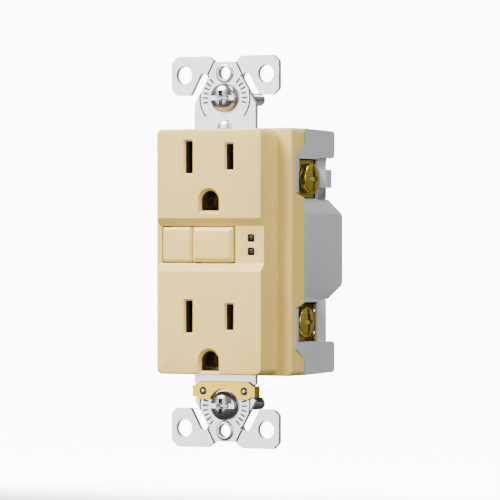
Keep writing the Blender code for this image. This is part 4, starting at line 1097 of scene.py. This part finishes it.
def studio_lamps(scene, power):
    """Square soft lights that face the receptacle, each with its share of the key light's power."""
    lamps = (
        ("key_light", (-0.56, -0.75, 0.82), 0.6, 1.0, (1, 1, 1)),
        ("front_card", (-0.65, -1.13, 0.05), 0.8, 0.23, (1, 1, 1)),
        ("side_light", (0.95, -0.8, 0.35), 0.6, 0.24, (0.9, 0.95, 1.0)),
        ("top_light", (0.5, -0.1, 1.1), 0.5, 0.35, (1, 1, 1)),
    )
    for name, spot, size, share, colour in lamps:
        lamp = bpy.data.lights.new(name, "AREA")
        lamp.color = colour
        lamp.shape = "SQUARE"
        lamp.size = size
        lamp.energy = power * share
        holder = bpy.data.objects.new(name, lamp)
        scene.collection.objects.link(holder)
        holder.location = spot
        holder.rotation_euler = Vector(spot).to_track_quat("Z", "Y").to_euler()


def studio_camera(scene, sizes):
    """Long lens aimed at the middle of the strap's front from the view's turn and rise."""
    lens = bpy.data.cameras.new("camera")
    lens.lens = sizes.lens_mm
    lens.sensor_width = 36.0
    lens.shift_x, lens.shift_y = 0.0502, 0.0036
    lens.clip_end = 20
    holder = bpy.data.objects.new("camera", lens)
    scene.collection.objects.link(holder)
    turn, rise = sizes.view_turn, sizes.view_rise
    back = Vector((math.sin(turn) * math.cos(rise), -math.cos(turn) * math.cos(rise), math.sin(rise)))
    holder.location = Vector((0, -1.3 * MM, 0)) + back * sizes.view_distance
    holder.rotation_euler = back.to_track_quat("Z", "Y").to_euler()
    scene.camera = holder


class RECEPTACLE_OT_stage(bpy.types.Operator):
    """Pale floor that sweeps up behind, soft studio lights and the camera"""

    bl_idname = "receptacle.stage"
    bl_label = "Stage"

    def execute(self, context):
        sizes = context.scene.receptacle_sizes
        paper_sweep(sizes.paper_light)
        studio_world(context.scene, sizes.fill_light)
        studio_lamps(context.scene, sizes.key_light)
        studio_camera(context.scene, sizes)
        return {"FINISHED"}


# Properties, panel and registration -------------------------------------------------------


def colour_choice(name, description, code):
    """A colour that the user can change, from an sRGB hex code."""
    return bpy.props.FloatVectorProperty(
        name=name, description=description, subtype="COLOR", default=linear(code), min=0, max=1)


class ReceptacleColours(bpy.types.PropertyGroup):
    ivory: colour_choice("Ivory", "Cover and buttons", "#ECC966")
    grey: colour_choice("Grey", "Rear housing", "#B4B4B6")
    zinc: colour_choice("Zinc", "Plated strap", "#DCDDDF")
    brass: colour_choice("Brass", "Grounding clip", "#CFAE30")


class ReceptacleSizes(bpy.types.PropertyGroup):
    pitch: bpy.props.FloatProperty(
        name="Thread pitch", description="Advance of the screws in one turn", default=0.79375 * MM,
        unit="LENGTH")
    fill_light: bpy.props.FloatProperty(
        name="Fill light", description="Strength of the even light all round", default=0.45, min=0)
    key_light: bpy.props.FloatProperty(
        name="Key light", description="Power of the main soft light", default=37.0, min=0, subtype="POWER")
    paper_light: bpy.props.FloatProperty(
        name="Paper light", description="Glow of the paper behind the receptacle", default=10.0, min=0)
    lens_mm: bpy.props.FloatProperty(
        name="Lens", description="Focal length of the camera in millimetres", default=297.2)
    view_distance: bpy.props.FloatProperty(
        name="View distance", description="Camera to strap", default=1.1174, unit="LENGTH")
    view_turn: bpy.props.FloatProperty(
        name="View turn", description="How far round to the right the camera stands",
        default=math.radians(29.96), subtype="ANGLE")
    view_rise: bpy.props.FloatProperty(
        name="View rise", description="How far the camera looks down",
        default=math.radians(0.23), subtype="ANGLE")


STEPS = (
    RECEPTACLE_OT_cover,
    RECEPTACLE_OT_housing,
    RECEPTACLE_OT_buttons,
    RECEPTACLE_OT_strap,
    RECEPTACLE_OT_screws,
    RECEPTACLE_OT_clip,
    RECEPTACLE_OT_terminals,
    RECEPTACLE_OT_works,
    RECEPTACLE_OT_stage,
)


class RECEPTACLE_PT_panel(bpy.types.Panel):
    """Lists the sizes, the colours and the building steps"""

    bl_idname = "RECEPTACLE_PT_panel"
    bl_label = "Receptacle"
    bl_space_type = "VIEW_3D"
    bl_region_type = "UI"
    bl_category = "Receptacle"

    def draw(self, context):
        for group in (context.scene.receptacle_sizes, context.scene.receptacle_colours):
            for key in group.bl_rna.properties.keys():
                if key not in ("rna_type", "name"):
                    self.layout.prop(group, key)
        for step in STEPS:
            self.layout.operator(step.bl_idname)


CLASSES = (ReceptacleColours, ReceptacleSizes, *STEPS, RECEPTACLE_PT_panel)


def register():
    for item in CLASSES:
        bpy.utils.register_class(item)
    bpy.types.Scene.receptacle_colours = bpy.props.PointerProperty(type=ReceptacleColours)
    bpy.types.Scene.receptacle_sizes = bpy.props.PointerProperty(type=ReceptacleSizes)


def unregister():
    del bpy.types.Scene.receptacle_sizes
    del bpy.types.Scene.receptacle_colours
    for item in reversed(CLASSES):
        bpy.utils.unregister_class(item)


def main():
    register()
    prepare_finishes(bpy.context.scene.receptacle_colours)
    for step in STEPS:
        family, name = step.bl_idname.split(".")
        getattr(getattr(bpy.ops, family), name)()


if __name__ == "__main__":
    main()
